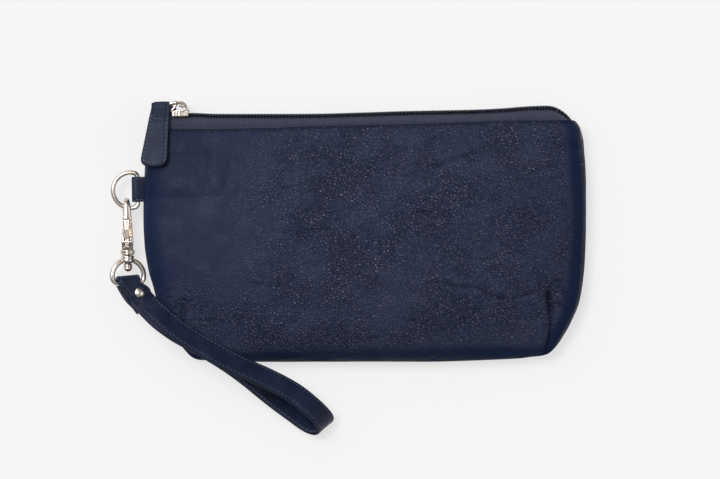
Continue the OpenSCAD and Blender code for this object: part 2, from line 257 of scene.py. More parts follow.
def prism(outline, low, high, place_point):
    """An outline extruded from low to high; place_point turns (a, b, height) into a point."""
    n = len(outline)
    points = [place_point(a, b, low) for a, b in outline]
    points += [place_point(a, b, high) for a, b in outline]
    faces = [list(range(n))[::-1], list(range(n, 2 * n))]
    faces += [[i, (i + 1) % n, n + (i + 1) % n, n + i] for i in range(n)]
    return points, faces


def lathe(profile, origin, axis, sides=40):
    """A solid of revolution from (distance along the axis, radius) pairs."""
    axis = unit(np.array(axis, float))
    first = unit(np.cross(axis, np.eye(3)[np.argmin(np.abs(axis))]))
    second = np.cross(axis, first)
    turn = full_turn(sides)
    out = np.cos(turn)[:, None] * first + np.sin(turn)[:, None] * second
    rings = [np.array(origin, float) + axis * along + out * radius for along, radius in profile]
    return np.vstack(rings).tolist(), capped_faces(len(rings), sides)


def lump(centre, size):
    """A box with its middle at centre."""
    half = [s / 2 for s in size]
    outline = [(-half[0], -half[1]), (half[0], -half[1]), (half[0], half[1]), (-half[0], half[1])]
    return prism(outline, -half[2], half[2],
                 lambda a, b, c: (centre[0] + a, centre[1] + b, centre[2] + c))


def rod(start, end, radius, sides=32):
    """A straight round bar between two points."""
    start, end = np.array(start, float), np.array(end, float)
    return lathe([(0, radius), (np.linalg.norm(end - start), radius)], start, end - start, sides)


def applied(obj, kind, **settings):
    """Adds a modifier to an object and applies it to its mesh."""
    modifier = obj.modifiers.new(kind, kind)
    for key, value in settings.items():
        setattr(modifier, key, value)
    bpy.context.view_layer.update()
    done = bpy.data.meshes.new_from_object(obj.evaluated_get(bpy.context.evaluated_depsgraph_get()))
    obj.modifiers.clear()
    old = obj.data
    obj.data = done
    bpy.data.meshes.remove(old)


def rough_object(part):
    """A temporary object from (points, faces), left in millimetres."""
    mesh = bpy.data.meshes.new("rough")
    mesh.from_pydata([tuple(p) for p in part[0]], [], [list(f) for f in part[1]])
    obj = bpy.data.objects.new("rough", mesh)
    bpy.context.scene.collection.objects.link(obj)
    return obj


def cast(name, adds, cuts=(), grain=0.15, rounds=6, bend=None):
    """One polished casting: the solids melted together, less the cuts, with rounded edges."""
    obj = rough_object(joined_parts(adds))
    applied(obj, "REMESH", mode="VOXEL", voxel_size=grain)
    for cut in cuts:
        cutter = rough_object(cut)
        applied(obj, "BOOLEAN", operation="DIFFERENCE", solver="EXACT", object=cutter)
        bpy.data.objects.remove(cutter)
    if cuts:
        applied(obj, "REMESH", mode="VOXEL", voxel_size=grain)
    applied(obj, "SMOOTH", factor=0.5, iterations=rounds)
    points = np.array([v.co for v in obj.data.vertices])
    faces = [list(p.vertices) for p in obj.data.polygons]
    bpy.data.objects.remove(obj)
    return mesh_object(name, bend(points) if bend else points, faces, [NICKEL])


# ---- materials ----

class Nodes:
    """Short calls that add nodes to one tree."""

    def __init__(self, tree, last):
        self.tree = tree
        self.last = tree.nodes[last]

    def give(self, socket, value):
        """Links a socket to another one, or sets its value."""
        if isinstance(value, bpy.types.NodeSocket):
            self.tree.links.new(value, socket)
        else:
            socket.default_value = value

    def put(self, **values):
        """Sets or links sockets of the shader itself."""
        for key, value in values.items():
            self.give(self.last.inputs[key.replace("_", " ")], value)

    def node(self, kind, sockets=(), **settings):
        """A node with its settings, and with its sockets set or linked."""
        made = self.tree.nodes.new("ShaderNode" + kind)
        for key, value in settings.items():
            setattr(made, key, value)
        for key, value in dict(sockets).items():
            self.give(made.inputs[key], value)
        return made

    def sized(self, source, size):
        """Coordinates scaled to a pattern's size in millimetres."""
        size = size if isinstance(size, tuple) else (size,) * 3
        return self.node("Mapping", {"Vector": source, "Scale": [1 / (s * MM) for s in size]}).outputs[0]

    def turned(self, source, angle=0.8):
        """Coordinates turned aside, so that a noise doesn't line up with the pouch."""
        way = (0.5 * angle, 0.4 * angle, angle)
        return self.node("Mapping", {"Vector": source, "Rotation": way}).outputs[0]

    def noise(self, source, size, detail=3.0, roughness=0.5, output="Fac"):
        """Noise from 0 to 1 with features of that size in millimetres."""
        return self.node("TexNoise", {"Vector": self.sized(source, size), "Scale": 1.0, "Detail": detail,
                                      "Roughness": roughness}).outputs[output]

    def cells(self, source):
        """Distance from the borders between cells."""
        return self.node("TexVoronoi", {"Vector": source, "Scale": 1.0},
                         feature="DISTANCE_TO_EDGE").outputs["Distance"]

    def waves(self, source, scale, distortion, bands):
        """Waves from 0 to 1."""
        return self.node("TexWave", {"Vector": source, "Scale": scale, "Distortion": distortion,
                                     "Detail": 1.0}, bands_direction=bands).outputs["Fac"]

    def ramp(self, value, low, low_colour, high, high_colour, middle=None):
        """A colour between two, or through a (position, colour) in the middle."""
        made = self.node("ValToRGB", {"Fac": value})
        stops = [(low, low_colour), (high, high_colour)]
        if middle:
            stops.insert(1, middle)
            made.color_ramp.elements.new(0.5)
        for element, (position, colour) in zip(made.color_ramp.elements, stops):
            element.position = position
            element.color = (*colour, 1.0)
        return made.outputs["Color"]

    def mixed(self, factor, first, second, how="MIX"):
        """Two colours mixed."""
        made = self.node("Mix", data_type="RGBA", blend_type=how)
        for key, value in ((0, factor), (6, first), (7, second)):
            self.give(made.inputs[key], (*value, 1.0) if isinstance(value, tuple) else value)
        return made.outputs[2]

    def maths(self, how, first, second=0.0):
        """A Math node's value."""
        return self.node("Math", {0: first, 1: second}, operation=how).outputs[0]

    def times(self, first, second):
        """A product."""
        return self.maths("MULTIPLY", first, second)

    def plus(self, first, second):
        """A sum."""
        return self.maths("ADD", first, second)

    def vectors(self, how, first, second, output=0):
        """A Vector Math node's result."""
        return self.node("VectorMath", {0: first, 1: second}, operation=how).outputs[output]

    def between(self, value, low, high, to_low=0.0, to_high=1.0):
        """A value mapped smoothly from one range to another."""
        return self.node("MapRange", {"Value": value, "From Min": low, "From Max": high,
                                      "To Min": to_low, "To Max": to_high},
                         interpolation_type="SMOOTHSTEP").outputs["Result"]

    def mark(self, word):
        """A share that the mesh carries at each of its points."""
        return self.node("Attribute", attribute_name=word).outputs["Fac"]

    def relief(self, height, depth_mm):
        """Gives the shader a relief of that depth."""
        bump = self.node("Bump", {"Height": height, "Distance": depth_mm * MM, "Strength": 1.0})
        self.put(Normal=bump.outputs["Normal"])


def new_material(name, **values):
    """A material, its nodes and its object coordinates."""
    material = bpy.data.materials.new(name)
    material.use_nodes = True
    nodes = Nodes(material.node_tree, "Principled BSDF")
    nodes.put(**values)
    return material, nodes, nodes.node("TexCoord").outputs["Object"]


NAVY = (0.0225, 0.030, 0.067)
NAVY_DEEP = (0.0155, 0.023, 0.056)
NAVY_PALE = (0.030, 0.037, 0.075)
# NAVY_EDGE: dark navy painted as shade on the rolled edges and in fine streaks, and laid where the grain
# is faint.
NAVY_EDGE = (0.0075, 0.0145, 0.040)
# Pale pebble crowns: wear and painted highlight.
PEBBLE_WEAR_HIGHLIGHT = (0.104, 0.102, 0.146)
# Painted glint specks on the pebbles.
GLINT_SPECKLE_TONE = (0.074, 0.076, 0.116)
# Painted highlight on the raised rims of the bands.
RIM_HIGHLIGHT_TONE = (0.085, 0.095, 0.150)
# Painted shade in folds, creases and stitch grooves.
FOLD_SHADE_TONE = (0.004, 0.006, 0.016)
PEBBLE_SIZE = (1.6, 1.2, 1.6)
PEBBLE_DEPTH = 0.42
TRIM_GRAIN = 0.55


def leather_colour(nodes, at, cell, shown, edge_wear_and_shade):
    """Drifting shades of navy, with painted shade in the creases between the pebbles, in fine streaks,
    on the worn rolled edges and in the folds; pale crowns of wear and painted highlight; painted glint
    specks; and a darker tone where the grain is faint.
    """
    tone = nodes.ramp(nodes.noise(nodes.turned(at), 27, 4.0), 0.3, NAVY_DEEP, 0.78, NAVY_PALE,
                      (0.52, NAVY))
    # Painted shade: the creases between the pebbles take a darker copy of the tone.
    dark = nodes.mixed(1.0, tone, (0.38, 0.43, 0.55), "MULTIPLY")
    creases = nodes.times(nodes.maths("SUBTRACT", 1.0, nodes.between(cell, 0.0, 0.3)), shown)
    body = nodes.mixed(nodes.maths("SUBTRACT", 1.0, creases), dark, tone)
    patches = nodes.between(nodes.noise(at, (5, 2.2, 4)), 0.32, 0.68, 0.25, 1.0)
    # Pale pebble crowns in random patches: wear and painted highlight.
    crowns = nodes.times(nodes.times(nodes.between(cell, 0.12, 0.5), shown), patches)
    body = nodes.mixed(crowns, body, PEBBLE_WEAR_HIGHLIGHT)
    # Painted glint specks where the grain shows.
    speckle = nodes.noise(nodes.turned(at, 0.3), (1.6, 0.75, 1.2), 4.0, 0.6)
    speckle = nodes.times(nodes.between(speckle, 0.5, 0.68, 0.0, 0.5), shown)
    body = nodes.mixed(speckle, body, GLINT_SPECKLE_TONE)
    # Darker fine streaks: painted shade of fine wrinkles.
    streaks = nodes.noise(nodes.turned(at, 0.12), (6.5, 0.8, 2.5))
    streaks = nodes.times(nodes.between(streaks, 0.52, 0.7, 0.0, 0.55), shown)
    # Mixed towards dark navy: the painted streak shade, a darker tone where the grain is faint, and
    # painted shade on the worn rolled edges.
    for share in (streaks, nodes.between(shown, 0.05, 0.6, 0.65, 0.0), nodes.times(edge_wear_and_shade, 0.85)):
        body = nodes.mixed(share, body, NAVY_EDGE)
    # Painted shade in the folds: darts, creases and the mouth's turned edge.
    return nodes.mixed(nodes.mark("fold"), body, FOLD_SHADE_TONE)


def pebbled_leather():
    """Soft milled leather with pebbles parted by fine creases. The mesh says where the grain
    shows, where painted shade lies on the worn rolled edges, and where it lies in the folds."""
    material, nodes, at = new_material("pouch_leather", IOR=1.35)
    wobble = nodes.vectors("MULTIPLY", nodes.noise(at, 3.4, 2.0, output="Color"), (0.8, 0.8, 0.8))
    cell = nodes.cells(nodes.vectors("ADD", nodes.sized(at, PEBBLE_SIZE), wobble))
    shown = nodes.mark("grain")
    edge_wear_and_shade = nodes.mark("edge_wear_and_shade")
    gloss = nodes.between(nodes.noise(nodes.turned(at), 9), 0.3, 0.7, 0.40, 0.56)
    shine = nodes.times(nodes.between(shown, 0.0, 0.6, 0.17, 0.3),
                        nodes.between(edge_wear_and_shade, 0.0, 1.0, 1.0, 0.35))
    nodes.put(Base_Color=leather_colour(nodes, at, cell, shown, edge_wear_and_shade), Roughness=gloss,
              Specular_IOR_Level=shine)
    fine = nodes.times(nodes.noise(at, 0.5, 2.0), 0.16)
    nodes.relief(nodes.plus(nodes.times(nodes.between(cell, 0.0, 0.3), shown), fine), PEBBLE_DEPTH)
    return material


def smooth_leather(name, light, deep, gloss):
    """Fine-grained strap leather, polished by handling, with painted shade between its grain cells and
    in its stitch grooves, and a painted highlight on the raised rims of its upper face.
    """
    material, nodes, at = new_material(name, IOR=1.38, Specular_IOR_Level=0.32)
    grain = nodes.between(nodes.cells(nodes.sized(at, TRIM_GRAIN)), 0.0, 0.3)
    tone = nodes.ramp(nodes.noise(at, 11, 4.0, 0.6), 0.32, deep, 0.68, light)
    # Darker between the grain's cells: painted shade in its fine creases.
    body = nodes.mixed(grain, nodes.mixed(1.0, tone, (0.66, 0.68, 0.74), "MULTIPLY"), tone)
    # Painted highlight on the raised rims, broken up by noise.
    rim_highlight = nodes.times(nodes.mark("rim_highlight"), nodes.between(nodes.noise(at, 3), 0.3, 0.7, 0.45, 1.0))
    # Painted shade in the stitch grooves.
    body = nodes.mixed(nodes.mark("groove_shade"), nodes.mixed(rim_highlight, body, RIM_HIGHLIGHT_TONE), FOLD_SHADE_TONE)
    rough = nodes.between(nodes.noise(at, 4), 0.3, 0.7, gloss - 0.06, gloss + 0.1)
    nodes.put(Base_Color=body, Roughness=rough)
    nodes.relief(nodes.plus(nodes.times(grain, 0.7), nodes.noise(at, 1.6, 2.0)), 0.05)
    return material


def edge_paint():
    """Dark paint on the cut edges of the leather, worn a little."""
    material, nodes, at = new_material("edge_paint", IOR=1.25, Specular_IOR_Level=0.15)
    wear = nodes.noise(at, 1.8, 4.0, 0.65)
    nodes.put(Base_Color=nodes.ramp(wear, 0.42, (0.006, 0.009, 0.024), 0.75, (0.016, 0.022, 0.052)),
              Roughness=nodes.between(wear, 0.3, 0.7, 0.3, 0.5))
    nodes.relief(wear, 0.04)
    return material


def thread(name, colour):
    """Twisted sewing thread."""
    material, nodes, at = new_material(name, Roughness=0.62, Sheen_Weight=0.2)
    twist = nodes.waves(nodes.sized(at, 0.32), 0.5, 1.2, "DIAGONAL")
    nodes.put(Base_Color=nodes.ramp(twist, 0.2, tuple(c * 0.5 for c in colour), 0.8, colour))
    nodes.relief(twist, 0.04)
    return material


def woven(name, colour, dark, pitch, depth, rib):
    """Woven cloth: crossing threads, with the ones along X standing out by rib."""
    material, nodes, at = new_material(name, Roughness=0.78, Sheen_Weight=0.15, Sheen_Roughness=0.5)
    warp = nodes.waves(nodes.sized(at, pitch * 2), 1 / math.pi, 0.4, "X")
    weft = nodes.waves(nodes.sized(at, pitch * 1.3), 1 / math.pi, 0.6, "Y")
    cross = nodes.plus(nodes.times(warp, rib), nodes.times(weft, 1 - rib))
    slub = nodes.noise(at, (2.5, 9, 2.5))
    shade = nodes.plus(nodes.times(cross, 0.6), nodes.times(slub, 0.4))
    nodes.put(Base_Color=nodes.ramp(shade, 0.25, dark, 0.75, colour))
    nodes.relief(cross, depth)
    return material


def coil_nylon():
    """Black moulded nylon of the coil, with a blue gloss."""
    material, nodes, at = new_material("coil_nylon", IOR=1.4, Specular_IOR_Level=0.45)
    drift = nodes.noise(at, 0.9)
    nodes.put(Base_Color=nodes.ramp(drift, 0.35, (0.002, 0.003, 0.009), 0.7, (0.007, 0.011, 0.030)),
              Roughness=nodes.between(drift, 0.3, 0.7, 0.2, 0.34))
    nodes.relief(nodes.noise(at, 0.3, 2.0), 0.02)
    return material


def plated(name, colour, gloss, scratch):
    """Plated metal with faint polishing marks, a warm cast in places, and painted dark reflections on
    its flanks that face sideways.
    """
    material, nodes, at = new_material(name, Metallic=1.0)
    streak = nodes.noise(at, (0.25, 3.0, 0.25), 3.0, 0.6)
    warm = (colour[0], colour[1] * 0.90, colour[2] * 0.80)
    clean = nodes.ramp(nodes.noise(at, 3.2), 0.35, warm, 0.65, colour)
    normal = nodes.node("TexCoord").outputs["Normal"]
    facing = nodes.node("SeparateXYZ", {"Vector": normal}).outputs["Z"]
    # Painted reflection: faces that turn sideways are darkened, as if they showed dark surroundings.
    flank = nodes.between(nodes.maths("ABSOLUTE", facing), 0.15, 0.66, 0.72, 0.0)
    nodes.put(Base_Color=nodes.mixed(flank, clean, (0.05, 0.045, 0.045)),
              Roughness=nodes.between(streak, 0.3, 0.75, gloss, gloss + 0.12))
    nodes.relief(streak, scratch)
    return material


FLOOR_GLOW = 0.658
FLOOR_GREYS = ((0.255,) * 3, (0.265,) * 3)


def floor_paper():
    """Plain pale studio paper, lit from behind so that shadows on it stay faint."""
    material, nodes, at = new_material("floor_paper", Roughness=0.9, Specular_IOR_Level=0.0,
                                       Emission_Color=(1, 1, 1, 1), Emission_Strength=FLOOR_GLOW)
    nodes.put(Base_Color=nodes.ramp(nodes.noise(at, 60, 2.0), 0.2, FLOOR_GREYS[0], 0.8, FLOOR_GREYS[1]))
    return material


LEATHER = pebbled_leather()
TRIM = smooth_leather("trim_leather", (0.021, 0.030, 0.062), (0.010, 0.016, 0.040), 0.42)
STRAP_LEATHER = smooth_leather("strap_leather", (0.018, 0.026, 0.058), (0.006, 0.011, 0.032), 0.36)
EDGE = edge_paint()
THREAD = thread("navy_thread", (0.105, 0.135, 0.225))
STRAP_THREAD = thread("strap_thread", (0.050, 0.064, 0.120))
TAPE = woven("zip_tape_weave", (0.033, 0.041, 0.076), (0.013, 0.018, 0.040), 0.55, 0.10, 0.7)
LINING = woven("lining_weave", (0.060, 0.075, 0.130), (0.030, 0.040, 0.075), 0.45, 0.06, 0.5)
NYLON = coil_nylon()
NICKEL = plated("nickel_plate", (0.78, 0.74, 0.70), 0.15, 0.010)
STEEL = plated("spring_steel_bare", (0.52, 0.52, 0.53), 0.28, 0.015)


# ---- camera, floor and light ----

CAMERA_AWAY = 3000.0
CAMERA_SEES_TO = 20.0
PICTURE_WIDE = 341.3
PICTURE_MIDDLE = (-2.4, -1.6)
ROLL = -1.0
SENSOR = 36.0
FLOOR_HALF = 9000
FLOOR_DROP = 0.02
KEY_ENERGY = 1.85
KEY_SPREAD = 26
KEY_FROM = (-0.36, 0.36, 1.20)
# Softboxes as (direction, edge, brightness)
SOFTBOXES = [((-0.62, 0.60, 0.62), 0.84, 0.9), ((0.85, -0.1, 0.62), 0.93, 0.8)]
CEILING_GLOW = (0.10, 0.34)
STUDIO_WHITE = (1.0, 0.99, 0.98, 1.0)


def make_camera():
    """Straight above the pouch, turned by the small angle that the picture shows."""
    data = bpy.data.cameras.new("camera")
    data.sensor_width = SENSOR
    data.lens = SENSOR * (CAMERA_AWAY - SEAM_Z) / PICTURE_WIDE
    data.clip_end = CAMERA_SEES_TO
    camera = bpy.data.objects.new("camera", data)
    camera.location = (PICTURE_MIDDLE[0] * MM, PICTURE_MIDDLE[1] * MM, CAMERA_AWAY * MM)
    camera.rotation_euler = (0, 0, math.radians(ROLL))
    bpy.context.scene.collection.objects.link(camera)
    bpy.context.scene.camera = camera


def make_floor():
    """A wide pale sheet under the object."""
    corners = [(x * FLOOR_HALF, y * FLOOR_HALF, 0) for x, y in ((-1, -1), (1, -1), (1, 1), (-1, 1))]
    floor = mesh_object("floor", corners, [[0, 1, 2, 3]], [floor_paper()])
    floor.location.z = -FLOOR_DROP * MM


def make_world():
    """A dim ceiling with bright soft-edged windows in it, seen in the polished metal."""
    world = bpy.data.worlds.new("studio")
    bpy.context.scene.world = world
    world.use_nodes = True
    nodes = Nodes(world.node_tree, "Background")
    way = nodes.node("TexCoord").outputs["Generated"]
    up = nodes.node("SeparateXYZ", {"Vector": way}).outputs["Z"]
    glow = nodes.between(up, 0.1, 0.95, *CEILING_GLOW)
    for toward, edge, bright in SOFTBOXES:
        facing = nodes.vectors("DOT_PRODUCT", way, unit(np.array(toward)).tolist(), "Value")
        glow = nodes.plus(glow, nodes.between(facing, edge - 0.05, edge + 0.05, 0.0, bright))
    nodes.put(Strength=glow, Color=STUDIO_WHITE)


def make_light():
    """A soft key from the picture's top left, and the studio round it."""
    key = bpy.data.lights.new("key", "SUN")
    key.energy = KEY_ENERGY
    key.angle = math.radians(KEY_SPREAD)
    lamp = bpy.data.objects.new("key", key)
    lamp.rotation_euler = Vector(KEY_FROM).to_track_quat("Z", "Y").to_euler()
    bpy.context.scene.collection.objects.link(lamp)
    make_world()
    bpy.context.scene.view_settings.view_transform = "Standard"


# ---- pouch ----

RIGHT_EDGE = [(-60.2, 79), (-59.6, 83), (-58, 86.4), (-55, 89.3), (-50, 92.7), (-43, 96.8),
              (-32, 101.4), (-15, 104), (5, 105), (20, 105.2), (42, 103.8), (48.5, 102.9),
              (51.5, 101.5), (53.2, 99.6)]
LEFT_EDGE = [(-60.2, 79), (-59.6, 82), (-58, 84.4), (-55, 86.8), (-50, 90.2), (-43, 93.8),
             (-32, 98.4), (-22, 101), (-14, 103.1), (-2, 104.7), (8, 105), (18, 104.8),
             (32, 103.5), (53.2, 101.6)]
FRONT_RISE = [(-60.2, 0), (-59.6, 2.6), (-58, 5.6), (-55, 8.9), (-50, 12), (-42, 14.9),
              (-30, 16.6), (-18, 17), (0, 16), (20, 12.6), (40, 8.2), (53.2, 5.4)]
BACK_RISE = [(-60.2, 0), (-59.6, 2.4), (-58, 4.6), (-55, 6.8), (-50, 9.2), (-45, 9.8),
             (40, 9.8), (47, 7.8), (53.2, 5.4)]
# Heights with the power that squares the section's corners
SQUARENESS = [(-60.2, 2.2), (20, 2.3), (40, 4), (53.2, 14)]
DENT_AT = (-82, -43)
DENT_ANGLE = math.radians(-33.4)
DENT_LONG = 30
DENT_WIDE = 14
DENT_DEPTH = 0.42
EDGE_ROLL = LEATHER_T / 2
ROLL_STEPS = (30, 60, 90, 120, 150)
# Rows and columns of the panels' meshes
FRONT_GRID = (176, 316)
BACK_GRID = (120, 210)
INNER_ROWS = 26
MOUTH_SEAM_Y = 51.2
TURNED_EDGE_Y = 52.5
PUCKER_PITCH = 2.7
LINING_GAP = 1.2
LINING_TOP = 46.7
LINING_GRID = (46, 90)
CLOTH_T = 0.35
POCKET_HALF = 58.5
POCKET_LOW = -34.5
POCKET_HIGH = 22.5
POCKET_Z = 3.3
POCKET_GRID = (46, 80)
BOTTOM_LIFT = [(-92, 3.2), (-84, 2.6), (-60, 1.7), (-27, 1.3), (0, 0.9), (16, 0.6), (32, 0.3),
               (58, 0.5), (72, 0.7), (80, 1.2), (86, 0.6), (92, 0)]
MOUTH_DROOP = [(-100, 0.6), (-85, 1.0), (-71, 1.3), (-43, 1.3), (-28, 0.95), (0, 0.75), (28, 0.6),
               (43, 0.4), (57, 0), (71, -0.2), (85, 0), (100, 0)]

# Creases of the front as (points, depth, width)
CREASES = [
    ([(13, 29.6), (18, 28.6), (27, 29.3)], 0.45, 0.9),
    ([(22, 35.6), (34, 33.4), (46, 36.2), (57, 40.3), (66, 41.8), (76, 40.4)], 0.55, 1.1),
    ([(69, 24.6), (75, 25.5), (82, 25)], 0.4, 0.8),
    ([(14, 10.2), (28, 11.0), (38, 10.4), (46, 10.9)], 0.4, 0.8),
    ([(26, -5.8), (31, -6.9), (37, -6.4)], 0.35, 0.8),
    ([(47, -10.8), (56, -12.2), (64, -11)], 0.4, 0.9),
    ([(31, -21.2), (41, -24.6), (53, -26), (60, -29.2), (67, -30.8), (75, -29.6), (85, -26.2)],
     0.75, 1.15),
    ([(14, -39.3), (21, -40.2), (29, -39.4)], 0.35, 0.8),
    ([(38, -39.2), (44, -40.3), (50, -39.8)], 0.35, 0.8),
    ([(-14, -46.8), (0, -48.6), (12, -47.4)], 0.35, 0.9),
    ([(-46, 4), (-34, 1.6), (-20, 3.4), (-6, 1.2)], 0.35, 1.3),
    ([(-34, 24), (-22, 26.2), (-10, 24.4)], 0.3, 1.2),
    ([(-89, -27.6), (-84, -29.4), (-79, -28.4)], 0.5, 0.8),
    ([(-81, -37.4), (-76, -38.8), (-70, -38)], 0.45, 0.8),
    ([(-58, -20), (-46, -23), (-33, -21.6)], 0.35, 1.3),
    ([(-74, 46), (-72.5, 36), (-74, 24)], 0.3, 1.5),
    ([(-66, 44), (-63.5, 34), (-65, 22), (-62, 10)], 0.26, 1.7),
    ([(88, -24), (92, -22.6), (97, -22.4)], 0.4, 0.7),
    ([(88.5, -28.6), (93, -28), (97.5, -29)], 0.4, 0.7),
    ([(88.5, -33.2), (92, -34), (95.4, -36.2)], 0.35, 0.7),
    ([(85, -30.4), (80, -33.6), (75, -34.6)], 0.35, 0.8),
    ([(85.4, -35), (81, -39.4), (77, -41)], 0.3, 0.8),
]
# Strength of the painted shade along the creases.
CREASE_SHADE = 0.9
# The dart at each bottom corner, from its tip to the bottom edge
DART = [(86, -25.5), (87, -34), (87.2, -41), (86.7, -48), (85.2, -54.5), (84.2, -57.6)]


def up_side(y):
    """Distance up the pouch, stretched at the rounded bottom edge so that it reads smoothly."""
    return np.sqrt(np.maximum(y - POUCH_BOTTOM, 0))


def at_height(y, table):
    """A table's value at heights up the pouch."""
    return smooth_lookup(up_side(y), [(float(up_side(a)), b) for a, b in table])


def dent(x, y):
    """Share of the front's height that is left under the strap."""
    dx, dy = x - DENT_AT[0], y - DENT_AT[1]
    along = dx * math.cos(DENT_ANGLE) + dy * math.sin(DENT_ANGLE)
    across = -dx * math.sin(DENT_ANGLE) + dy * math.cos(DENT_ANGLE)
    return 1 - DENT_DEPTH * np.exp(-(along / DENT_LONG) ** 2 - (across / DENT_WIDE) ** 2)


def mouth_droop(x, y):
    """How far the leather's edge at the mouth hangs below its straight line."""
    return smooth_lookup(x, MOUTH_DROOP) * fade(y, 36, 52)


def settled(x, y):
    """Heights as the slack pouch lies: bottom edge lifted a little, mouth edge drooping."""
    lift = smooth_lookup(x, BOTTOM_LIFT)
    return y + lift * (1 - fade(y, -60, -32)) - mouth_droop(x, y)


def half_width(x, y):
    """Half of the pouch's width at that height, on the side that x is on."""
    return np.where(x > 0, at_height(y, RIGHT_EDGE), at_height(y, LEFT_EDGE))


def panel_point(u, y, inset, table, front):
    """Points of a panel at shares u of its half-width, y up the pouch, inset under its face."""
    power = np.interp(y, *np.array(SQUARENESS, float).T)
    x = (half_width(u, y) - inset) * u
    full = at_height(y, table)
    h = full * np.maximum(0, 1 - np.abs(u) ** power) ** (1 / power)
    h = h * full / np.maximum(full + inset, 1e-6)
    placed = settled(x, POUCH_TOP - (POUCH_TOP - y) * (1 - inset / (POUCH_TOP - POUCH_BOTTOM)))
    if front:
        return np.stack([x, placed, SEAM_Z + h * dent(x, y)], -1)
    flat = SEAM_Z - inset
    soft = 1.2
    gap = np.maximum(soft - np.abs(h - flat), 0) / soft
    h = np.minimum(h, flat) - gap ** 2 * soft / 4
    return np.stack([x, placed, SEAM_Z - np.maximum(h, 0)], -1)


def even_heights(table, count):
    """Heights up the pouch at even distances along its middle line."""
    s = np.linspace(0, float(up_side(POUCH_TOP - EDGE_ROLL)), 900)
    y = POUCH_BOTTOM + s ** 2
    run = length_along(np.stack([y, at_height(y, table)], 1))
    return np.interp(np.linspace(0, run[-1], count), run, y)


def panel_rows(heights, insets, columns, table, front):
    """Rows of points across a panel, at even distances across it."""
    u = np.sin(np.linspace(-math.pi / 2, math.pi / 2, 501))
    rows = []
    for y, inset in zip(heights, insets):
        line = panel_point(u, np.full_like(u, y), inset, table, front)
        run = length_along(line)
        share = np.interp(np.linspace(0, run[-1], columns), run, u)
        rows.append(panel_point(share, np.full_like(share, y), inset, table, front))
    return np.array(rows)


def distance_to(x, y, points):
    """Distance from each place to a line of points, and how far along it that is, 0 to 1."""
    line = catmull(points, 4)
    run = length_along(line)
    best = np.full(x.shape, 1e9)
    share = np.zeros(x.shape)
    for a, b, start in zip(line[:-1], line[1:], run[:-1]):
        step = b - a
        size = np.dot(step, step)
        t = np.clip(((x - a[0]) * step[0] + (y - a[1]) * step[1]) / size, 0, 1)
        d = np.hypot(x - a[0] - t * step[0], y - a[1] - t * step[1])
        nearer = d < best
        best = np.where(nearer, d, best)
        share = np.where(nearer, (start + t * math.sqrt(size)) / run[-1], share)
    return best, share


def crease_shape(x, y, points):
    """Distance from a wandering pinched line, and its strength, which fades at its ends."""
    wander = 0.6 * noise(x, y, (3.5, 3.5), 7)
    d, share = distance_to(x + wander, y + 0.8 * wander, points)
    ends = fade(share, -0.02, 0.25) * (1 - fade(share, 0.7, 1.02))
    broken = np.clip(0.8 + 0.9 * noise(x, y, (6, 6), 8), 0.1, 1.4)
    return d, ends * broken


def crease_relief(x, y, points, depth, width):
    """A pinched line with a soft lip on each side."""
    d, strength = crease_shape(x, y, points)
    lips = bell(d, width, 1.9 * width)
    return depth * strength * (0.6 * lips - bell(d, width))


def dart_line(side):
    """The dart on the right (side 1) or the left (side -1)."""
    return [(side * a, b) for a, b in DART]


def dart_relief(x, y, side):
    """The sewn dart: a deep narrow seam with the leather swelling on both sides of it."""
    d, share = distance_to(x, y, dart_line(side))
    tip = fade(share, -0.03, 0.16)
    upper = tip * (1 - fade(share, 0.3, 0.55))
    swell = 0.55 * bell(d, 2.6, 3.6)
    pucker = 0.16 * np.sin(y * 2 * math.pi / PUCKER_PITCH) * bell(d, 1.4, 1.8)
    beside = side * x - np.interp(-y, [-b for _, b in DART], [a for a, _ in DART])
    second = upper * 0.35 * bell(beside, 0.7, 2.3)
    seam = (0.9 + 0.45 * upper) * bell(d, 0.62 + 0.45 * upper)
    whole = tip * (swell + pucker - seam - 0.35 * bell(d, 1.8)) - second
    return whole * (0.25 + 0.75 * fade(y, -59.5, -54))


def soft_relief(x, y, seed, wrinkles):
    """Slack leather: broad hollows, shallow ripples and small wandering wrinkles."""
    slant_x, slant_y = 0.86 * x - 0.5 * y, 0.5 * x + 0.86 * y
    broad = 0.85 * noise(slant_x, slant_y, (37, 33), seed)
    broad = broad + 0.4 * noise(0.9 * x + 0.44 * y, 0.9 * y - 0.44 * x, (18, 14), seed + 1)
    ripple = 0.16 * noise(slant_x, slant_y, (8, 7), seed + 2)
    bent = y + 2.2 * noise(x, y, (14, 14), seed + 3)
    ridge = 1 - np.abs(noise(x, bent, (8.5, 2.9), seed + 4))
    where = fade(noise(x, y, (22, 18), seed + 5), -0.25, 0.5)
    pebbles = 0.07 * noise(x, y, (2.1, 1.9), seed + 6)
    return broad + ripple - wrinkles * where * ridge ** 6 + pebbles


def front_relief(x, y):
    """Everything that stands out of, or into, the front's plain form."""
    patchy = fade(x, -80, -20) * 0.24 + 0.08
    streaks = 0.1 * noise(x, y, (3.4, 40), 19) * fade(x, -96, -84) * (1 - fade(x, -66, -44))
    total = soft_relief(x, y, 11, patchy) + streaks * fade(y, -12, 10)
    for points, depth, width in CREASES:
        total = total + crease_relief(x, y, points, depth, width)
    return total + dart_relief(x, y, 1) + 0.45 * dart_relief(x, y, -1)


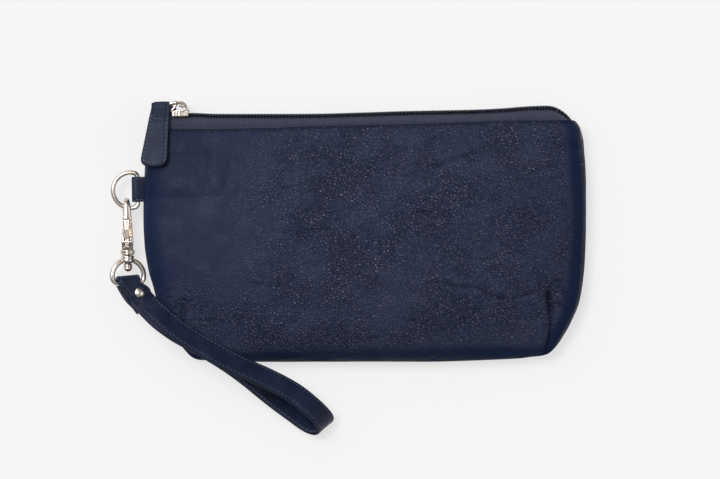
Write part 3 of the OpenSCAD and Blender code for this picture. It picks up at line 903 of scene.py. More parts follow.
def fold_shade_marks(x, y):
    """Painted shade in the darts and the creases, and a painted shadow line under the turned edge at the
    mouth.
    """
    folds = np.zeros(x.shape)
    for side, share_dark in ((-1, 0.4), (1, 1.0)):
        d, share = distance_to(x, y, dart_line(side))
        upper = 1 - fade(share, 0.3, 0.55)
        dark = fade(share, -0.02, 0.1) * bell(d, 0.5 + 0.9 * upper) * (0.8 + 0.15 * upper)
        folds = np.maximum(folds, dark * share_dark)
    for points, depth, width in CREASES:
        d, strength = crease_shape(x, y, points)
        folds = np.maximum(folds, CREASE_SHADE * depth * strength * bell(d, 0.6 * width))
    # Painted shadow under the turned edge at the mouth, as a jagged dark line.
    jagged = 0.5 + 0.5 * fade(noise(x, y, (1.6, 3), 83), -0.5, 0.3)
    return np.maximum(folds, 0.9 * jagged * bell(y, 0.55, TURNED_EDGE_Y))


def leather_marks(x, y):
    """Where the grain shows, where painted shade lies on the worn rolled edges, and where it lies in the
    folds.
    """
    edge = half_width(x, y) - np.abs(x)
    # Painted shade on the rolled side edges, stronger on the right, and along the rolled bottom edge;
    # the same share smooths the grain there as wear.
    sides = fade(edge, 1.2, 2.6) * (1 - fade(edge, 4.5, 10))
    bottom = 1 - fade(y, -56.5, -50.5)
    edge_wear_and_shade = np.maximum(sides * fade(x, -20, 80) * 0.5 + sides * 0.5 * fade(np.abs(x), 60, 80), bottom)
    patches = 0.6 + 0.4 * fade(noise(0.8 * x + 0.6 * y, 0.8 * y - 0.6 * x, (24, 19), 81)
                               + 0.6 * noise(x, y, (9, 7), 82), -0.5, 0.5)
    calm = fade(x, -76, -22) + 0.75 * fade(-y, 12, 34)
    grain = patches * np.clip(0.16 + 0.84 * calm, 0, 1) * (1 - 0.85 * edge_wear_and_shade)
    return {"grain": grain, "edge_wear_and_shade": edge_wear_and_shade, "fold": fold_shade_marks(x, y)}


def back_relief(x, y):
    """The back is pressed by the table, so it is calmer than the front."""
    total = 0.5 * soft_relief(x, y, 31, 0.2)
    return total + dart_relief(x, y, 1) + dart_relief(x, y, -1)


def grid_normals(grid, front):
    """Normals of a panel's grid of points, outwards; level along its foot and its sides."""
    down = np.gradient(grid, axis=0)
    along = np.gradient(grid, axis=1)
    normals = unit(np.cross(along, down))
    normals[0] = (0, -1, 0)
    for column, side in ((0, -1), (-1, 1)):
        edge = np.gradient(grid[:, column], axis=0)
        flat = np.stack([side * edge[:, 1], -side * edge[:, 0], 0 * edge[:, 0]], -1)
        normals[:, column] = unit(flat)
        normals[0, column] = (side * 0.5, -0.87, 0)
    flip = np.sign(normals[..., 2:] * (1 if front else -1))
    flip[:, 0] = flip[:, -1] = 1
    flip[0] = 1
    return normals * np.where(flip == 0, 1, flip)


def bridged(first, second, heights):
    """Triangles between two lines of point numbers that run the same way up."""
    faces, i, j = [], 0, 0
    while i < len(first) - 1 or j < len(second) - 1:
        take_first = j == len(second) - 1 or (
            i < len(first) - 1 and heights[first[i + 1]] <= heights[second[j + 1]])
        if take_first:
            faces.append([first[i], first[i + 1], second[j]])
            i += 1
        else:
            faces.append([first[i], second[j + 1], second[j]])
            j += 1
    return faces


def flat_height(grid):
    """Heights of a panel's points up the pouch, before its mouth droops."""
    return grid[..., 1] + mouth_droop(grid[..., 0], grid[..., 1])


def shape_outside(outer, front, relief):
    """Gives a panel's outer face its relief and its seams; the back lies on the table."""
    x, y = outer[..., 0], flat_height(outer)
    rise = np.abs(outer[..., 2] - SEAM_Z)
    stands = relief(x, y) * fade(rise, 0.4, 4.5) * (1 - 0.7 * fade(y, POUCH_TOP - 6, POUCH_TOP))
    seam = -0.5 * bell(rise, 0.8)
    seam = seam - 0.28 * bell(y, 0.5, MOUTH_SEAM_Y) * (1 + 0.5 * np.sin(x * 2.4))
    if not front:
        stands = stands * fade(outer[..., 2], 0.5, 2.5)
        seam = seam + 0.75 * bell(rise, 1.1, 2.0)
    outer += grid_normals(outer, front) * (stands + seam)[..., None]
    if not front:
        lift = 0.25 * (1 + noise(x, y, (30, 24), 41)) * (1 - fade(outer[..., 2], 0.1, 2.0))
        outer[..., 2] = np.maximum(outer[..., 2] + lift, 0.05)


def shape_inside(inside, front, relief):
    """Carries a little of the relief through to the inner face."""
    hold = fade(np.abs(inside[..., 2] - SEAM_Z), 1, 5)
    drop = np.minimum(relief(inside[..., 0], inside[..., 1]), 0.3) * hold
    away = 1.0 if front else -1.0
    inside[..., 2] += drop * away * (1 - fade(inside[..., 1], POUCH_TOP - 9, POUCH_TOP - 3))
    if not front:
        inside[..., 2] = np.maximum(inside[..., 2], 0.9)


def panel_faces(grid, top_row):
    """Faces of a panel: its grid, its closed foot, and its two side edges up to the top row."""
    total, columns, _ = grid.shape
    faces = grid_faces(total, columns)
    base = (total - 1) * columns
    faces += [[j, base + j, base + j + 1, j + 1] for j in range(columns - 1)]
    heights = grid[..., 1].ravel()
    for column in (0, columns - 1):
        up = [i * columns + column for i in range(top_row + 1)]
        down = [i * columns + column for i in range(total - 1, top_row - 1, -1)]
        faces += [f for f in bridged(up, down, heights) if len(set(f)) == 3]
    return faces


def leather_panel(name, table, front, relief, size):
    """A panel with its thickness: outer face, edge rolled over at the mouth, and inner face."""
    rows, columns = size
    turn = np.radians(ROLL_STEPS)
    rolled = POUCH_TOP - EDGE_ROLL + EDGE_ROLL * np.sin(turn)
    heights = np.concatenate([even_heights(table, rows), rolled,
                              even_heights(table, INNER_ROWS)[::-1]])
    insets = np.concatenate([np.zeros(rows), EDGE_ROLL * (1 - np.cos(turn)),
                             np.full(INNER_ROWS, LEATHER_T)])
    grid = panel_rows(heights, insets, columns, table, front)
    marks = leather_marks(grid[..., 0], flat_height(grid))
    shape_outside(grid[:rows], front, relief)
    if front:
        edge = grid[rows - 3:rows + 3]
        edge[..., 2] += 0.1 * np.sin(edge[..., 0] * 2 * math.pi / PUCKER_PITCH)
    shape_inside(grid[rows + len(turn):], front, relief)
    faces = panel_faces(grid, rows + len(turn) // 2)
    painted = heights > POUCH_TOP - EDGE_ROLL
    slots = [int(painted[f[0] // columns]) for f in faces]
    return mesh_object(name, grid.reshape(-1, 3), faces, [LEATHER, EDGE], slots, marks)


def lining_panel(name, table, front):
    """A thin cloth bag side that hangs slack inside the leather."""
    rows, columns = LINING_GRID
    heights = POUCH_BOTTOM + np.linspace(0.25, float(up_side(LINING_TOP)), rows) ** 2
    outer = panel_rows(heights, np.full(rows, LEATHER_T + LINING_GAP), columns, table, front)
    slack = CLOTH_T * noise(outer[..., 0], outer[..., 1], (11, 19), 51) + CLOTH_T
    toward = np.array([0, 0, -1.0 if front else 1.0])
    outer = outer + toward * (slack * fade(np.abs(outer[..., 2] - SEAM_Z), 1, 4))[..., None]
    inner = outer + toward * CLOTH_T
    return skin(name, np.concatenate([outer, inner[:, ::-1]], axis=1), [LINING])


def slip_pocket():
    """A hemmed cloth patch lying on the back lining."""
    rows, columns = POCKET_GRID
    x, y = np.meshgrid(np.linspace(-POCKET_HALF, POCKET_HALF, columns),
                       np.linspace(POCKET_LOW, POCKET_HIGH, rows))
    edge = np.minimum(POCKET_HALF - np.abs(x), np.minimum(y - POCKET_LOW, POCKET_HIGH - y))
    hem = 0.16 * bell(edge, 1.2, 1.6)
    top = POCKET_Z + hem + 0.12 * noise(x, y, (9, 12), 61)
    upper = np.stack([x, y, top], -1)
    lower = upper - (0, 0, CLOTH_T)
    return skin("slip_pocket_cloth", np.concatenate([upper, lower[:, ::-1]], axis=1), [LINING])


def make_pouch():
    """The leather outside, the lining and its pocket."""
    front = leather_panel("front_leather", FRONT_RISE, True, front_relief, FRONT_GRID)
    place(front, "pouch", "leather_navy", "front_panel")
    back = leather_panel("back_leather", BACK_RISE, False, back_relief, BACK_GRID)
    place(back, "pouch", "leather_navy", "back_panel")
    for word, table in (("front", FRONT_RISE), ("back", BACK_RISE)):
        cloth = lining_panel("lining_" + word + "_cloth", table, word == "front")
        place(cloth, "pouch", "lining_cloth", "lining_" + word)
    place(slip_pocket(), "pouch", "lining_cloth", "slip_pocket")


# ---- stitches ----

# A stitch's length, height and thickness at each of its rings, as shares
STITCH = np.array([(0, -0.9, 0.6), (0.18, 0.1, 0.95), (0.5, 0.35, 1.05), (0.82, 0.1, 0.95),
                   (1.0, -0.9, 0.6)])
STITCH_SIDES = 6


def stitch_row(line, normals, pitch, length, radius):
    """Threads along a line, each rising out of the leather and going back into it."""
    steps, lift, size = STITCH.T
    run = length_along(line)
    first = np.arange(pitch / 2, run[-1] - length, pitch)
    at = first[:, None] + steps[None, :] * length
    spot = np.stack([np.interp(at, run, line[:, k]) for k in range(3)], -1)
    up = unit(np.stack([np.interp(at, run, normals[:, k]) for k in range(3)], -1))
    side = unit(np.cross(heading(spot, 1), up))
    turn = full_turn(STITCH_SIDES)
    middle = spot + up * (lift * radius)[None, :, None]
    ring = (side[:, :, None, :] * np.cos(turn)[None, None, :, None]
            + up[:, :, None, :] * np.sin(turn)[None, None, :, None])
    rings = middle[:, :, None, :] + ring * (size * radius)[None, :, None, None]
    faces = capped_faces(len(STITCH), STITCH_SIDES)
    return [(points.tolist(), faces) for points in rings.reshape(len(first), -1, 3)]


def edge_stitches(middle, shown, offset, lift, size):
    """A row of stitches along the shown part of a band, offset across it and lifted off it."""
    centres, wide, up = (lines[shown] for lines in middle)
    offset = np.broadcast_to(offset, len(centres))[:, None]
    return stitch_row(centres + wide * offset + up * lift, up * np.sign(lift), *size)


def stitches(name, rows, material):
    """One object of several rows of stitches."""
    points, faces = joined_parts([part for row in rows for part in row])
    return mesh_object(name, points, faces, [material])


# ---- leather bands ----

# How far the stitched groove is from a band's edge
GROOVE = 1.15


def band_section(half_t, groove=GROOVE, layered=True):
    """A leather band's section, as (side, inset, height): painted edges, a groove for the
    stitches near each edge, and a line where its two layers meet."""
    t = half_t
    edge = [(0.0, -0.55 * t), (0.0, -0.14 * t), (0.14, 0.0), (0.0, 0.14 * t), (0.0, 0.55 * t)]
    if not layered:
        edge = [(0.0, -0.5 * t), (-0.03, 0.0), (0.0, 0.5 * t)]
    face = [(0.1, 0.86 * t), (0.32, t), (groove - 0.35, 1.02 * t), (groove - 0.14, t - 0.12),
            (groove + 0.14, t - 0.12), (groove + 0.38, 1.0 * t), (groove + 1.3, 1.02 * t)]
    left_up = [(-1, a, b) for a, b in edge + face]
    right_down = [(1, a, b) for a, b in (edge + face)[::-1]]
    under = [(1, a, -b) for a, b in face] + [(-1, a, -b) for a, b in face[::-1]]
    return np.array(left_up + right_down + under)


def edge_slots(section):
    """1 for the faces of a band's painted edges, and 0 for its leather."""
    side, inset = section[:, 0], np.abs(section[:, 1])
    same = side == np.roll(side, -1)
    return ((inset < 0.12) & (np.roll(inset, -1) < 0.16) & same).astype(int).tolist()


def band_marks(section, rings, rim_highlight_amount):
    """Painted highlight on the raised rims of a band's upper face, and painted shade in its sunk stitch
    grooves.
    """
    _, inset, height = section.T
    # Painted highlight along the raised rims of the upper face only.
    rim_highlight = bell(inset, 0.3, 0.55) * (height > 0)
    # Painted shade in the sunk stitch grooves.
    groove_shade = 0.75 * (np.abs(inset - GROOVE) < 0.2)
    return {"rim_highlight": np.tile(rim_highlight_amount * rim_highlight, rings), "groove_shade": np.tile(groove_shade, rings)}


def rounded_ends(rings, size):
    """Adds two rings at each end of a band, so that its cut ends are softly rounded."""
    def end(ring, neighbour):
        middle = ring.mean(0)
        ahead = unit(middle - neighbour.mean(0))
        return [middle + (ring - middle) * share + ahead * size * out
                for share, out in ((0.985, 0.55), (0.93, 0.9))]
    head = end(rings[0], rings[1])
    foot = end(rings[-1], rings[-2])
    return np.concatenate([np.array(head[::-1]), rings, np.array(foot)])


def leather_band(name, middle, left, right, section, end_size, rim_highlight_amount, leather):
    """A flat band with painted edges. middle holds its centres, width and face directions."""
    centres, wide, up = middle
    side, inset, height = section.T
    across = np.where(side[None, :] < 0, left[:, None] + inset, right[:, None] - inset)
    rings = (centres[:, None, :] + wide[:, None, :] * across[..., None]
             + up[:, None, :] * height[None, :, None])
    rings = rounded_ends(rings, end_size)
    return skin(name, rings, [leather, EDGE], slots=edge_slots(section),
                marks=band_marks(section, len(rings), rim_highlight_amount))


# ---- zip ----

TAPE_LINE = [(58.1, 0.85), (57.7, 1.5), (57.15, 2.3), (56.7, 3.1), (56, 3.9), (54.7, 4.2),
             (52.6, 3.95), (50, 4.6), (47.2, 5.15)]
TAPE_T = 0.5
TAPE_LEFT = -94.0
TAPE_RIGHT = 100.0
# Outline and heights of the tape patch that fills the shaded gap behind the slider with dark.
SHADE_FILLER_OUTLINE = [(-94, 56), (-88.6, 56.4), (-88.2, 60), (-88.9, 62.6), (-90.4, 63.5), (-93.6, 63.2)]
SHADE_FILLER_Z = (3.3, 3.9)
CHAIN_LEFT = -85.0
CHAIN_RIGHT = 98.6
COIL_PITCH = 1.5
COIL_Y = 58.75
COIL_HALF_Y = 0.8
COIL_HALF_Z = 1.6
COIL_Z = 1.05
COIL_WIRE = 0.36
COIL_SLANT = 0.42
COIL_STEPS = 18
CORE_R = 0.43
CORE_SHORT = 0.6
STOP_Y = 58.4
TOP_STOP_X = -92.6
TOP_STOP_APART = 1.9
TOP_STOP_SIZE = (1.6, 1.8, 1.6)
BOTTOM_STOP_X = 91.8
BOTTOM_STOP_SIZE = (1.4, 0.9, 2.8)
# The chain's height over its straight line: it sags, then goes over the pouch's corner
CHAIN_HEIGHT = [(-91, 0), (-82, 0), (-70, -0.6), (-50, -1.0), (-20, -1.4), (0, -1.2), (20, -0.9),
                (50, -0.8), (66, -0.4), (76, 0.25), (84, 0.5), (87, 0.5), (90, 0.1), (92.5, -0.9),
                (95, -2.5), (97.2, -4.5), (98.6, -5.9), (100, -6.8)]


def chain_height(x):
    """How far over its straight line the chain runs."""
    return smooth_lookup(x, CHAIN_HEIGHT)


def zip_tape(name, side):
    """A woven tape: from the coil it bends outwards and runs down inside the leather."""
    line = even(catmull(TAPE_LINE, 5), 34)
    normal = heading(line)[:, ::-1] * (-1, 1)
    outline = np.concatenate([line + normal * TAPE_T / 2, (line - normal * TAPE_T / 2)[::-1]])
    up, out = outline.T
    x = np.linspace(TAPE_LEFT, TAPE_RIGHT, 180)
    y = up[None, :] + chain_height(x)[:, None] * fade(up[None, :], 49, 57.4)
    wave = 0.12 * noise(x, x * 0, (7, 7), 71)[:, None] * fade(up[None, :], 52, 55)
    z = SEAM_Z + side * (out[None, :] + wave)
    return skin(name, np.stack([np.broadcast_to(x[:, None], y.shape), y, z], -1), [TAPE])


def zip_coil(name, side):
    """One of the two meshing nylon coils, wound along the tape's edge."""
    turns = int((CHAIN_RIGHT - CHAIN_LEFT) / COIL_PITCH)
    turn = np.arange(turns * COIL_STEPS + 1) * 2 * math.pi / COIL_STEPS
    start = CHAIN_LEFT + (0 if side > 0 else COIL_PITCH / 2)
    y_off = COIL_HALF_Y * np.cos(turn)
    x = start + COIL_PITCH * turn / (2 * math.pi) - COIL_SLANT * y_off
    z = SEAM_Z + side * (COIL_Z + COIL_HALF_Z * np.sin(turn))
    path = np.stack([x, COIL_Y + y_off + chain_height(x), z], -1)
    return skin(name, tube_rings(path, COIL_WIRE, 8), [NYLON])


def coil_core(name, side):
    """The filler that a coil is sewn round."""
    x = np.linspace(CHAIN_LEFT + CORE_SHORT, CHAIN_RIGHT - CORE_SHORT, 150)
    path = np.stack([x, COIL_Y + chain_height(x), np.full(len(x), SEAM_Z + side * COIL_Z)], -1)
    return skin(name, tube_rings(path, CORE_R, 10), [NYLON])


def tape_shade_filler():
    """A loose flat patch of tape behind where the slider parks, standing for the back tape's folded end,
    that fills the gap seen through the link with dark as painted shade.
    """
    outline = even(catmull(SHADE_FILLER_OUTLINE + SHADE_FILLER_OUTLINE[:1], 6), 60)[:-1]
    points, faces = prism(outline, *SHADE_FILLER_Z, lambda a, b, c: (a, b, c))
    return mesh_object("zip_tape_shade_filler", points, faces, [TAPE])


def clamp_stop(name, x, spread, size):
    """Bent metal clamps closed over the edge of the tape."""
    clamps = [lump((x, STOP_Y, SEAM_Z + side), size) for side in spread]
    return cast(name, clamps, grain=0.1, rounds=5)


def make_zip():
    """Tapes, coils and stops."""
    for word, side in (("front", 1), ("back", -1)):
        place(zip_tape("zip_tape_cloth_" + word, side), "pouch", "zip_tape", "zip_tape_" + word)
        place(zip_coil("zip_coil_wound_" + word, side), "pouch", "zip_coil", "zip_coil_" + word)
        place(coil_core("zip_coil_core_" + word, side), "pouch", "zip_coil")
    # The tape patch that stands in for the shade behind the slider.
    place(tape_shade_filler(), "pouch", "zip_tape")
    apart = (-TOP_STOP_APART, TOP_STOP_APART)
    stops = clamp_stop("zip_top_clamps", TOP_STOP_X, apart, TOP_STOP_SIZE)
    place(stops, "pouch", "nickel", "zip_top_stops")
    stop = clamp_stop("zip_bottom_clamp", BOTTOM_STOP_X, (0,), BOTTOM_STOP_SIZE)
    stop.location.y = float(chain_height(np.array(BOTTOM_STOP_X))) * MM
    place(stop, "pouch", "nickel", "zip_bottom_stop")


# ---- slider, link and pull ----

# Outlines of the slider seen along +Y, as (X, distance from the seam)
SLIDER_OUTLINE = [(-91, -2.2), (-90.4, -3.5), (-88.8, -4.15), (-85, -4.2), (-82.9, -3.7),
                  (-82, -2.8), (-82, 2.8), (-82.9, 3.7), (-85, 4.2), (-88.8, 4.15),
                  (-90.4, 3.5), (-91, 2.2)]
SLIDER_HALF_Z = 4.2
LOW_PLATE_SHARE = 0.69
TOP_PLATE = (60.45, 61.0)
LOW_PLATE = (55.5, 56.3)
FLANGE_AT = (-86.4, 59.35)
FLANGE_APART = 3.75
FLANGE_SIZE = (7.6, 2.4, 0.7)
WEDGE_AT = (-90.1, 58.2)
WEDGE_SIZE = (1.0, 4.6, 1.1)
# Ribs on the slider's flanks as (X, radius)
SLIDER_RIBS = [(-89.4, 0.6), (-88.1, 0.4), (-86.7, 0.6)]
RIB_ENDS = (58.1, 60.9)
CROWN_LINE = [(-90.6, 60.9), (-89.5, 62.3), (-88.3, 63.8), (-87.1, 64.75), (-85.8, 64.8),
              (-84.6, 64.1), (-83.7, 62.7), (-83.3, 60.9)]
CROWN_SECTION = [(-1.05, -0.38), (-0.85, -0.52), (0.85, -0.52), (1.05, -0.38), (1.1, 0.1),
                 (0.95, 0.46), (0.4, 0.62), (-0.4, 0.62), (-0.95, 0.46), (-1.1, 0.1)]
LINK_LEG_Z = 3.5
LINK_LEFT = [(-99.2, 63.9, 2.4), (-99.0, 63.9, 3.1)]
LINK_LINE = [(-98.5, 63.9), (-96, 63.9), (-92.6, 63.95), (-90.6, 64.4), (-88.6, 64.7),
             (-86.7, 64.65), (-85.3, 64.15), (-84.9, 63.2)]
LINK_RIGHT = [(-85.1, 62.9, 3.45), (-85.8, 63.05, 2.6), (-86.4, 63.2, 1.6)]
LINK_WIRE = 0.57
LINK_SWELL = 0.24
PULL_MIDDLE = [(62.4, 13.1), (60, 14.1), (57, 15.3), (53, 16.5), (46, 18.1), (40, 19.4),
               (35.4, 20.3)]
PULL_LEFT = [(35.3, -105.8), (38.2, -105.3), (48, -103.2), (57, -101.3), (63.4, -100.0), (68, -99.9)]
PULL_RIGHT = [(35.3, -92.9), (38, -92.8), (48, -92.3), (56, -91.8), (63.4, -91.6), (68, -91.6)]
PULL_CORNER = 4.2
PULL_FOLD = (63.9, 12.5)
PULL_LAYER = 0.86
PULL_NOTCH = 1.8
PULL_POINTS = 240
PULL_STITCH = (2.0, 1.4, 0.2)
PULL_SEAM_IN = 1.2
PULL_CROSS_IN = 1.6
# Points along the pull that the cross seams lie at
PULL_CROSS_SEAMS = (84, 4)
PULL_SHOWN = slice(2, 92)


def flat_plate(outline, heights):
    """A plate lying along the zip, drawn from above it as (X, distance from the seam)."""
    return prism(outline, *heights, lambda a, b, c: (a, c, SEAM_Z + b))


def slider_casting():
    """Top and bottom plates joined by rolled flanges that run along the chain."""
    narrow = [(x, z * LOW_PLATE_SHARE) for x, z in SLIDER_OUTLINE]
    parts = [flat_plate(SLIDER_OUTLINE, TOP_PLATE), flat_plate(narrow, LOW_PLATE)]
    for side in (-1, 1):
        parts.append(lump((*FLANGE_AT, SEAM_Z + side * FLANGE_APART), FLANGE_SIZE))
        for x, radius in SLIDER_RIBS:
            z = SEAM_Z + side * (SLIDER_HALF_Z - radius)
            parts.append(rod(*((x, y, z) for y in RIB_ENDS), radius))
    parts.append(lump((*WEDGE_AT, SEAM_Z), WEDGE_SIZE))
    return cast("slider_casting", parts, grain=0.13, rounds=5)


def crown_strip():
    """The bridge of flat metal that holds the link."""
    line = catmull(CROWN_LINE, 6)
    path = np.stack([line[:, 0], line[:, 1], np.full(len(line), SEAM_Z)], -1)
    outward = np.cross(heading(path), (0, 0, -1.0))
    rings = np.array([[p + np.array((0, 0, a)) + out * b for a, b in CROWN_SECTION]
                      for p, out in zip(path, outward)])
    return skin("slider_bridge", rings, [NICKEL])


def link_wire():
    """The pull's ring: two long legs, a bar in the leather and a bar through the bridge."""
    leg = catmull([(x, y, LINK_LEG_Z) for x, y in LINK_LINE], 6)
    half = np.vstack([LINK_LEFT, leg, LINK_RIGHT])
    path = np.vstack([half, half[::-1] * (1, 1, -1)])
    path = even(catmull(path, 2), 260) + (0, 0, SEAM_Z)
    swell = fade(path[:, 0], -92.5, -90.5) * (1 - fade(path[:, 0], -88.4, -86.9))
    rings = tube_rings(path, LINK_WIRE + LINK_SWELL * swell, 14)
    return skin("link_ring", rings, [NICKEL], joined=True)


def pull_edges(y, bottom):
    """Left and right edges of the pull, rounded in over its bottom corners."""
    near = np.clip(1 - (y - bottom) / PULL_CORNER, 0, 1)
    pulled = PULL_CORNER * 0.8 * (1 - np.sqrt(np.maximum(1 - near ** 2.2, 0)))
    return smooth_lookup(y, PULL_LEFT) + pulled, smooth_lookup(y, PULL_RIGHT) - pulled * 0.85


def pull_path():
    """Middle line of the pull's leather, from its front end over the link to its back end."""
    middle = even(catmull(PULL_MIDDLE, 6), 60)
    slope = heading(middle)
    out = np.stack([-slope[:, 1], slope[:, 0]], 1)
    out = out * np.sign(out[:, 1:])
    offset = PULL_LAYER / 2 + 0.03
    front = (middle + out * offset)[::-1]
    back = middle - out * offset
    fold = np.array(arc(PULL_FOLD, 0.64 + PULL_LAYER / 2, 112, -88, 15))
    back_end = back[-1] + (back[-1] - back[-2]) * 0.9
    return np.vstack([front[:-1], fold, back[1:-1], back_end[None, :]])


def pull_shape():
    """The pull's middle line with its directions, and its two edges, notched for the link."""
    line = even(catmull(pull_path(), 2), PULL_POINTS)
    bottom = PULL_MIDDLE[-1][0]
    low = np.minimum(line[0, 0], line[-1, 0])
    behind = np.arange(PULL_POINTS) > PULL_POINTS // 2
    left, right = pull_edges(line[:, 0], bottom + np.where(behind, low - bottom, 0))
    arm = line - PULL_FOLD
    turn = np.degrees(np.arctan2(arm[:, 1], arm[:, 0]))
    left = left + PULL_NOTCH * (1 - fade(turn, 15, 62)) * (np.hypot(*arm.T) < 2.2)
    centres = np.stack([np.zeros(len(line)), line[:, 0], line[:, 1]], -1)
    wide = np.tile((1.0, 0, 0), (len(line), 1))
    return (centres, wide, carried_normals(centres, (0, 0.2, 1.0))), left, right


def pull_tab():
    """Leather folded over the link and sewn to itself, with its stitches."""
    middle, left, right = pull_shape()
    section = band_section(PULL_LAYER / 2, groove=1.2, layered=False)
    tab = leather_band("pull_leather", middle, left, right, section, 0.35, 0.25, TRIM)
    face = PULL_LAYER / 2 + 0.06
    rows = [edge_stitches(middle, PULL_SHOWN, edge[PULL_SHOWN] + inward, face, PULL_STITCH)
            for edge, inward in ((left, PULL_SEAM_IN), (right, -PULL_SEAM_IN))]
    centres, wide, up = middle
    for index in PULL_CROSS_SEAMS:
        ends = [centres[index] + wide[index] * offset
                for offset in (left[index] + PULL_CROSS_IN, right[index] - PULL_CROSS_IN)]
        seam = even(np.array(ends), 12) + up[index] * face
        rows.append(stitch_row(seam, np.tile(up[index], (12, 1)), *PULL_STITCH))
    return tab, stitches("pull_stitches", rows, THREAD)


def make_pull():
    """Slider, bridge, link and leather pull."""
    place(slider_casting(), "slider", "nickel", "slider_body")
    place(crown_strip(), "slider", "nickel", "slider_crown")
    place(link_wire(), "link", "nickel", "pull_link")
    tab, sewing = pull_tab()
    place(tab, "pull", "leather_trim", "pull_tab")
    place(sewing, "pull", "leather_trim")


# ---- ring tab, D-ring and hook ----

RING_MID = (-110.7, 23.6)
RING_R = 8.4
RING_WIRE = 1.1
BAR_X = -107.4
TAB_LOW = 18.1
TAB_HIGH = 29.9
TAB_LINE = [(-98.6, 0.55), (-101.5, 0.55), (-103.8, 0.6), (-105.2, 0.95)]
TAB_HALF_T = 0.48
TAB_SHOWN = slice(8, 46)
TAB_STITCH = (1.9, 1.3, 0.18)
HOOK_X = -112.6
HOOK_Y = 15.4
HOOK_HALF = 2.15
EYE_R = 2.4
NOSE_R = 4.6
COLLAR_Y = -4.5
COLLAR = [(0, 2.6), (0.4, 3.3), (0.9, 3.45), (1.5, 3.1), (2.0, 3.35), (2.5, 2.9)]
HOOK_TAPER = [(-7, 1.0), (-4.6, 1.06), (-4.4, 1.2), (-1, 1.28), (4, 1.16), (10, 0.97), (14, 0.84),
              (17, 0.72), (19, 0.55), (20, 0.4)]
HOOK_ROUND = 0.13
GATE_OUTLINE = [(-1.4, 4.2), (-2, 5.7), (-2.8, 6.2), (-3.6, 6.1), (-4.1, 5.5), (-2.6, 4.4),
                (-1.8, 2.8), (0, 1.95), (5, 2.6), (9.6, 2.6), (9.6, 4.2), (5, 4.4)]
GATE_HALF = 1.1
GATE_AXIS = (-0.8, 12.2)
KNUCKLE_R = 1.3
STUD_Y = -4
STUD = [(0, 1.1), (7.0, 1.1), (7.2, 1.6), (7.6, 2.0), (8.1, 2.12), (8.6, 2.1), (8.8, 1.75),
        (9.05, 2.1), (9.8, 1.95), (10.4, 1.5), (10.8, 0.8), (10.9, 0.05)]
LOOP_MID_Y = -17.0
LOOP_R = 7.7
LOOP_BAR_Y = -20.4
LOOP_WIRE = 1.25
LOOP_TILT = math.radians(16)
BOSS_Y = -7.2
BOSS = [(0, 2.6), (0.35, 3.1), (0.9, 3.25), (1.5, 3.0), (2.1, 3.2), (2.9, 3.15), (3.5, 2.7), (3.8, 2.2)]
BORE_Y = (-6, -12)
BORE_R = 1.3


def ring_tab():
    """A stitched leather loop round the D-ring's bar, sewn into the side seam."""
    round_bar = arc((BAR_X - 0.6, 0), RING_WIRE + 0.1 + 0.5, 66, 294, 15)
    lower = [(x, -z) for x, z in TAB_LINE[::-1]]
    line = even(catmull(TAB_LINE + round_bar + lower, 4), 110)
    mid_y = np.full(len(line), (TAB_LOW + TAB_HIGH) / 2)
    centres = np.stack([line[:, 0], mid_y, SEAM_Z + line[:, 1]], -1)
    wide = np.tile((0, 1.0, 0), (len(line), 1))
    middle = (centres, wide, carried_normals(centres, (0, 0, 1.0)))
    half = np.full(len(line), (TAB_HIGH - TAB_LOW) / 2)
    section = band_section(TAB_HALF_T, groove=1.0, layered=False)
    tab = leather_band("ring_tab_leather", middle, -half, half, section, 0.3, 0.3, TRIM)
    rows = [edge_stitches(middle, TAB_SHOWN, side * (half[0] - 1.0), 0.5, TAB_STITCH)
            for side in (-1, 1)]
    return tab, stitches("ring_tab_stitches", rows, THREAD)


def d_path(radius, bar, corner=1.3):
    """A D in its own plane, open towards +X: an arc closed by a straight bar."""
    half = math.degrees(math.acos(bar / radius))
    ends = radius * math.sin(math.radians(half))
    turn = corner / radius * 57.3
    points = arc((0, 0), radius, half + turn, 360 - half - turn, 60)
    straight = [(bar, y) for y in np.linspace(-ends + corner, ends - corner, 12)]
    low = [(bar - 0.28 * corner, -ends + 0.28 * corner)]
    high = [(bar - 0.28 * corner, ends - 0.28 * corner)]
    line = np.array(points + low + straight + high + points[:1])
    return even(catmull(line, 3), 150)[:-1]


def d_ring():
    """The polished wire D-ring."""
    flat = d_path(RING_R, BAR_X - RING_MID[0])
    path = np.stack([RING_MID[0] + flat[:, 0], RING_MID[1] + flat[:, 1],
                     np.full(len(flat), SEAM_Z)], -1)
    return skin("d_ring_wire", wire_rings(path, RING_WIRE, 20), [NICKEL], joined=True)


def across_hook(a, b, c):
    """A point of the hook's side view (Y, distance from the seam plane), c out to its side."""
    return (HOOK_X + c, a, SEAM_Z + b)


def along_hook(profile, y, sides=40):
    """A turned solid on the hook's axis, from a height y down towards the strap."""
    return lathe(profile, (HOOK_X, y, SEAM_Z), (0, -1, 0), sides)


def hook_taper(points):
    """Narrows the hook towards its nose and rounds its flat faces."""
    aside = points[:, 0] - HOOK_X
    rise = points[:, 2] - SEAM_Z
    points[:, 2] -= np.sign(rise) * HOOK_ROUND * aside ** 2 * fade(np.abs(rise), 2, 3.6)
    points[:, 0] = HOOK_X + aside * smooth_lookup(points[:, 1], HOOK_TAPER)
    return points


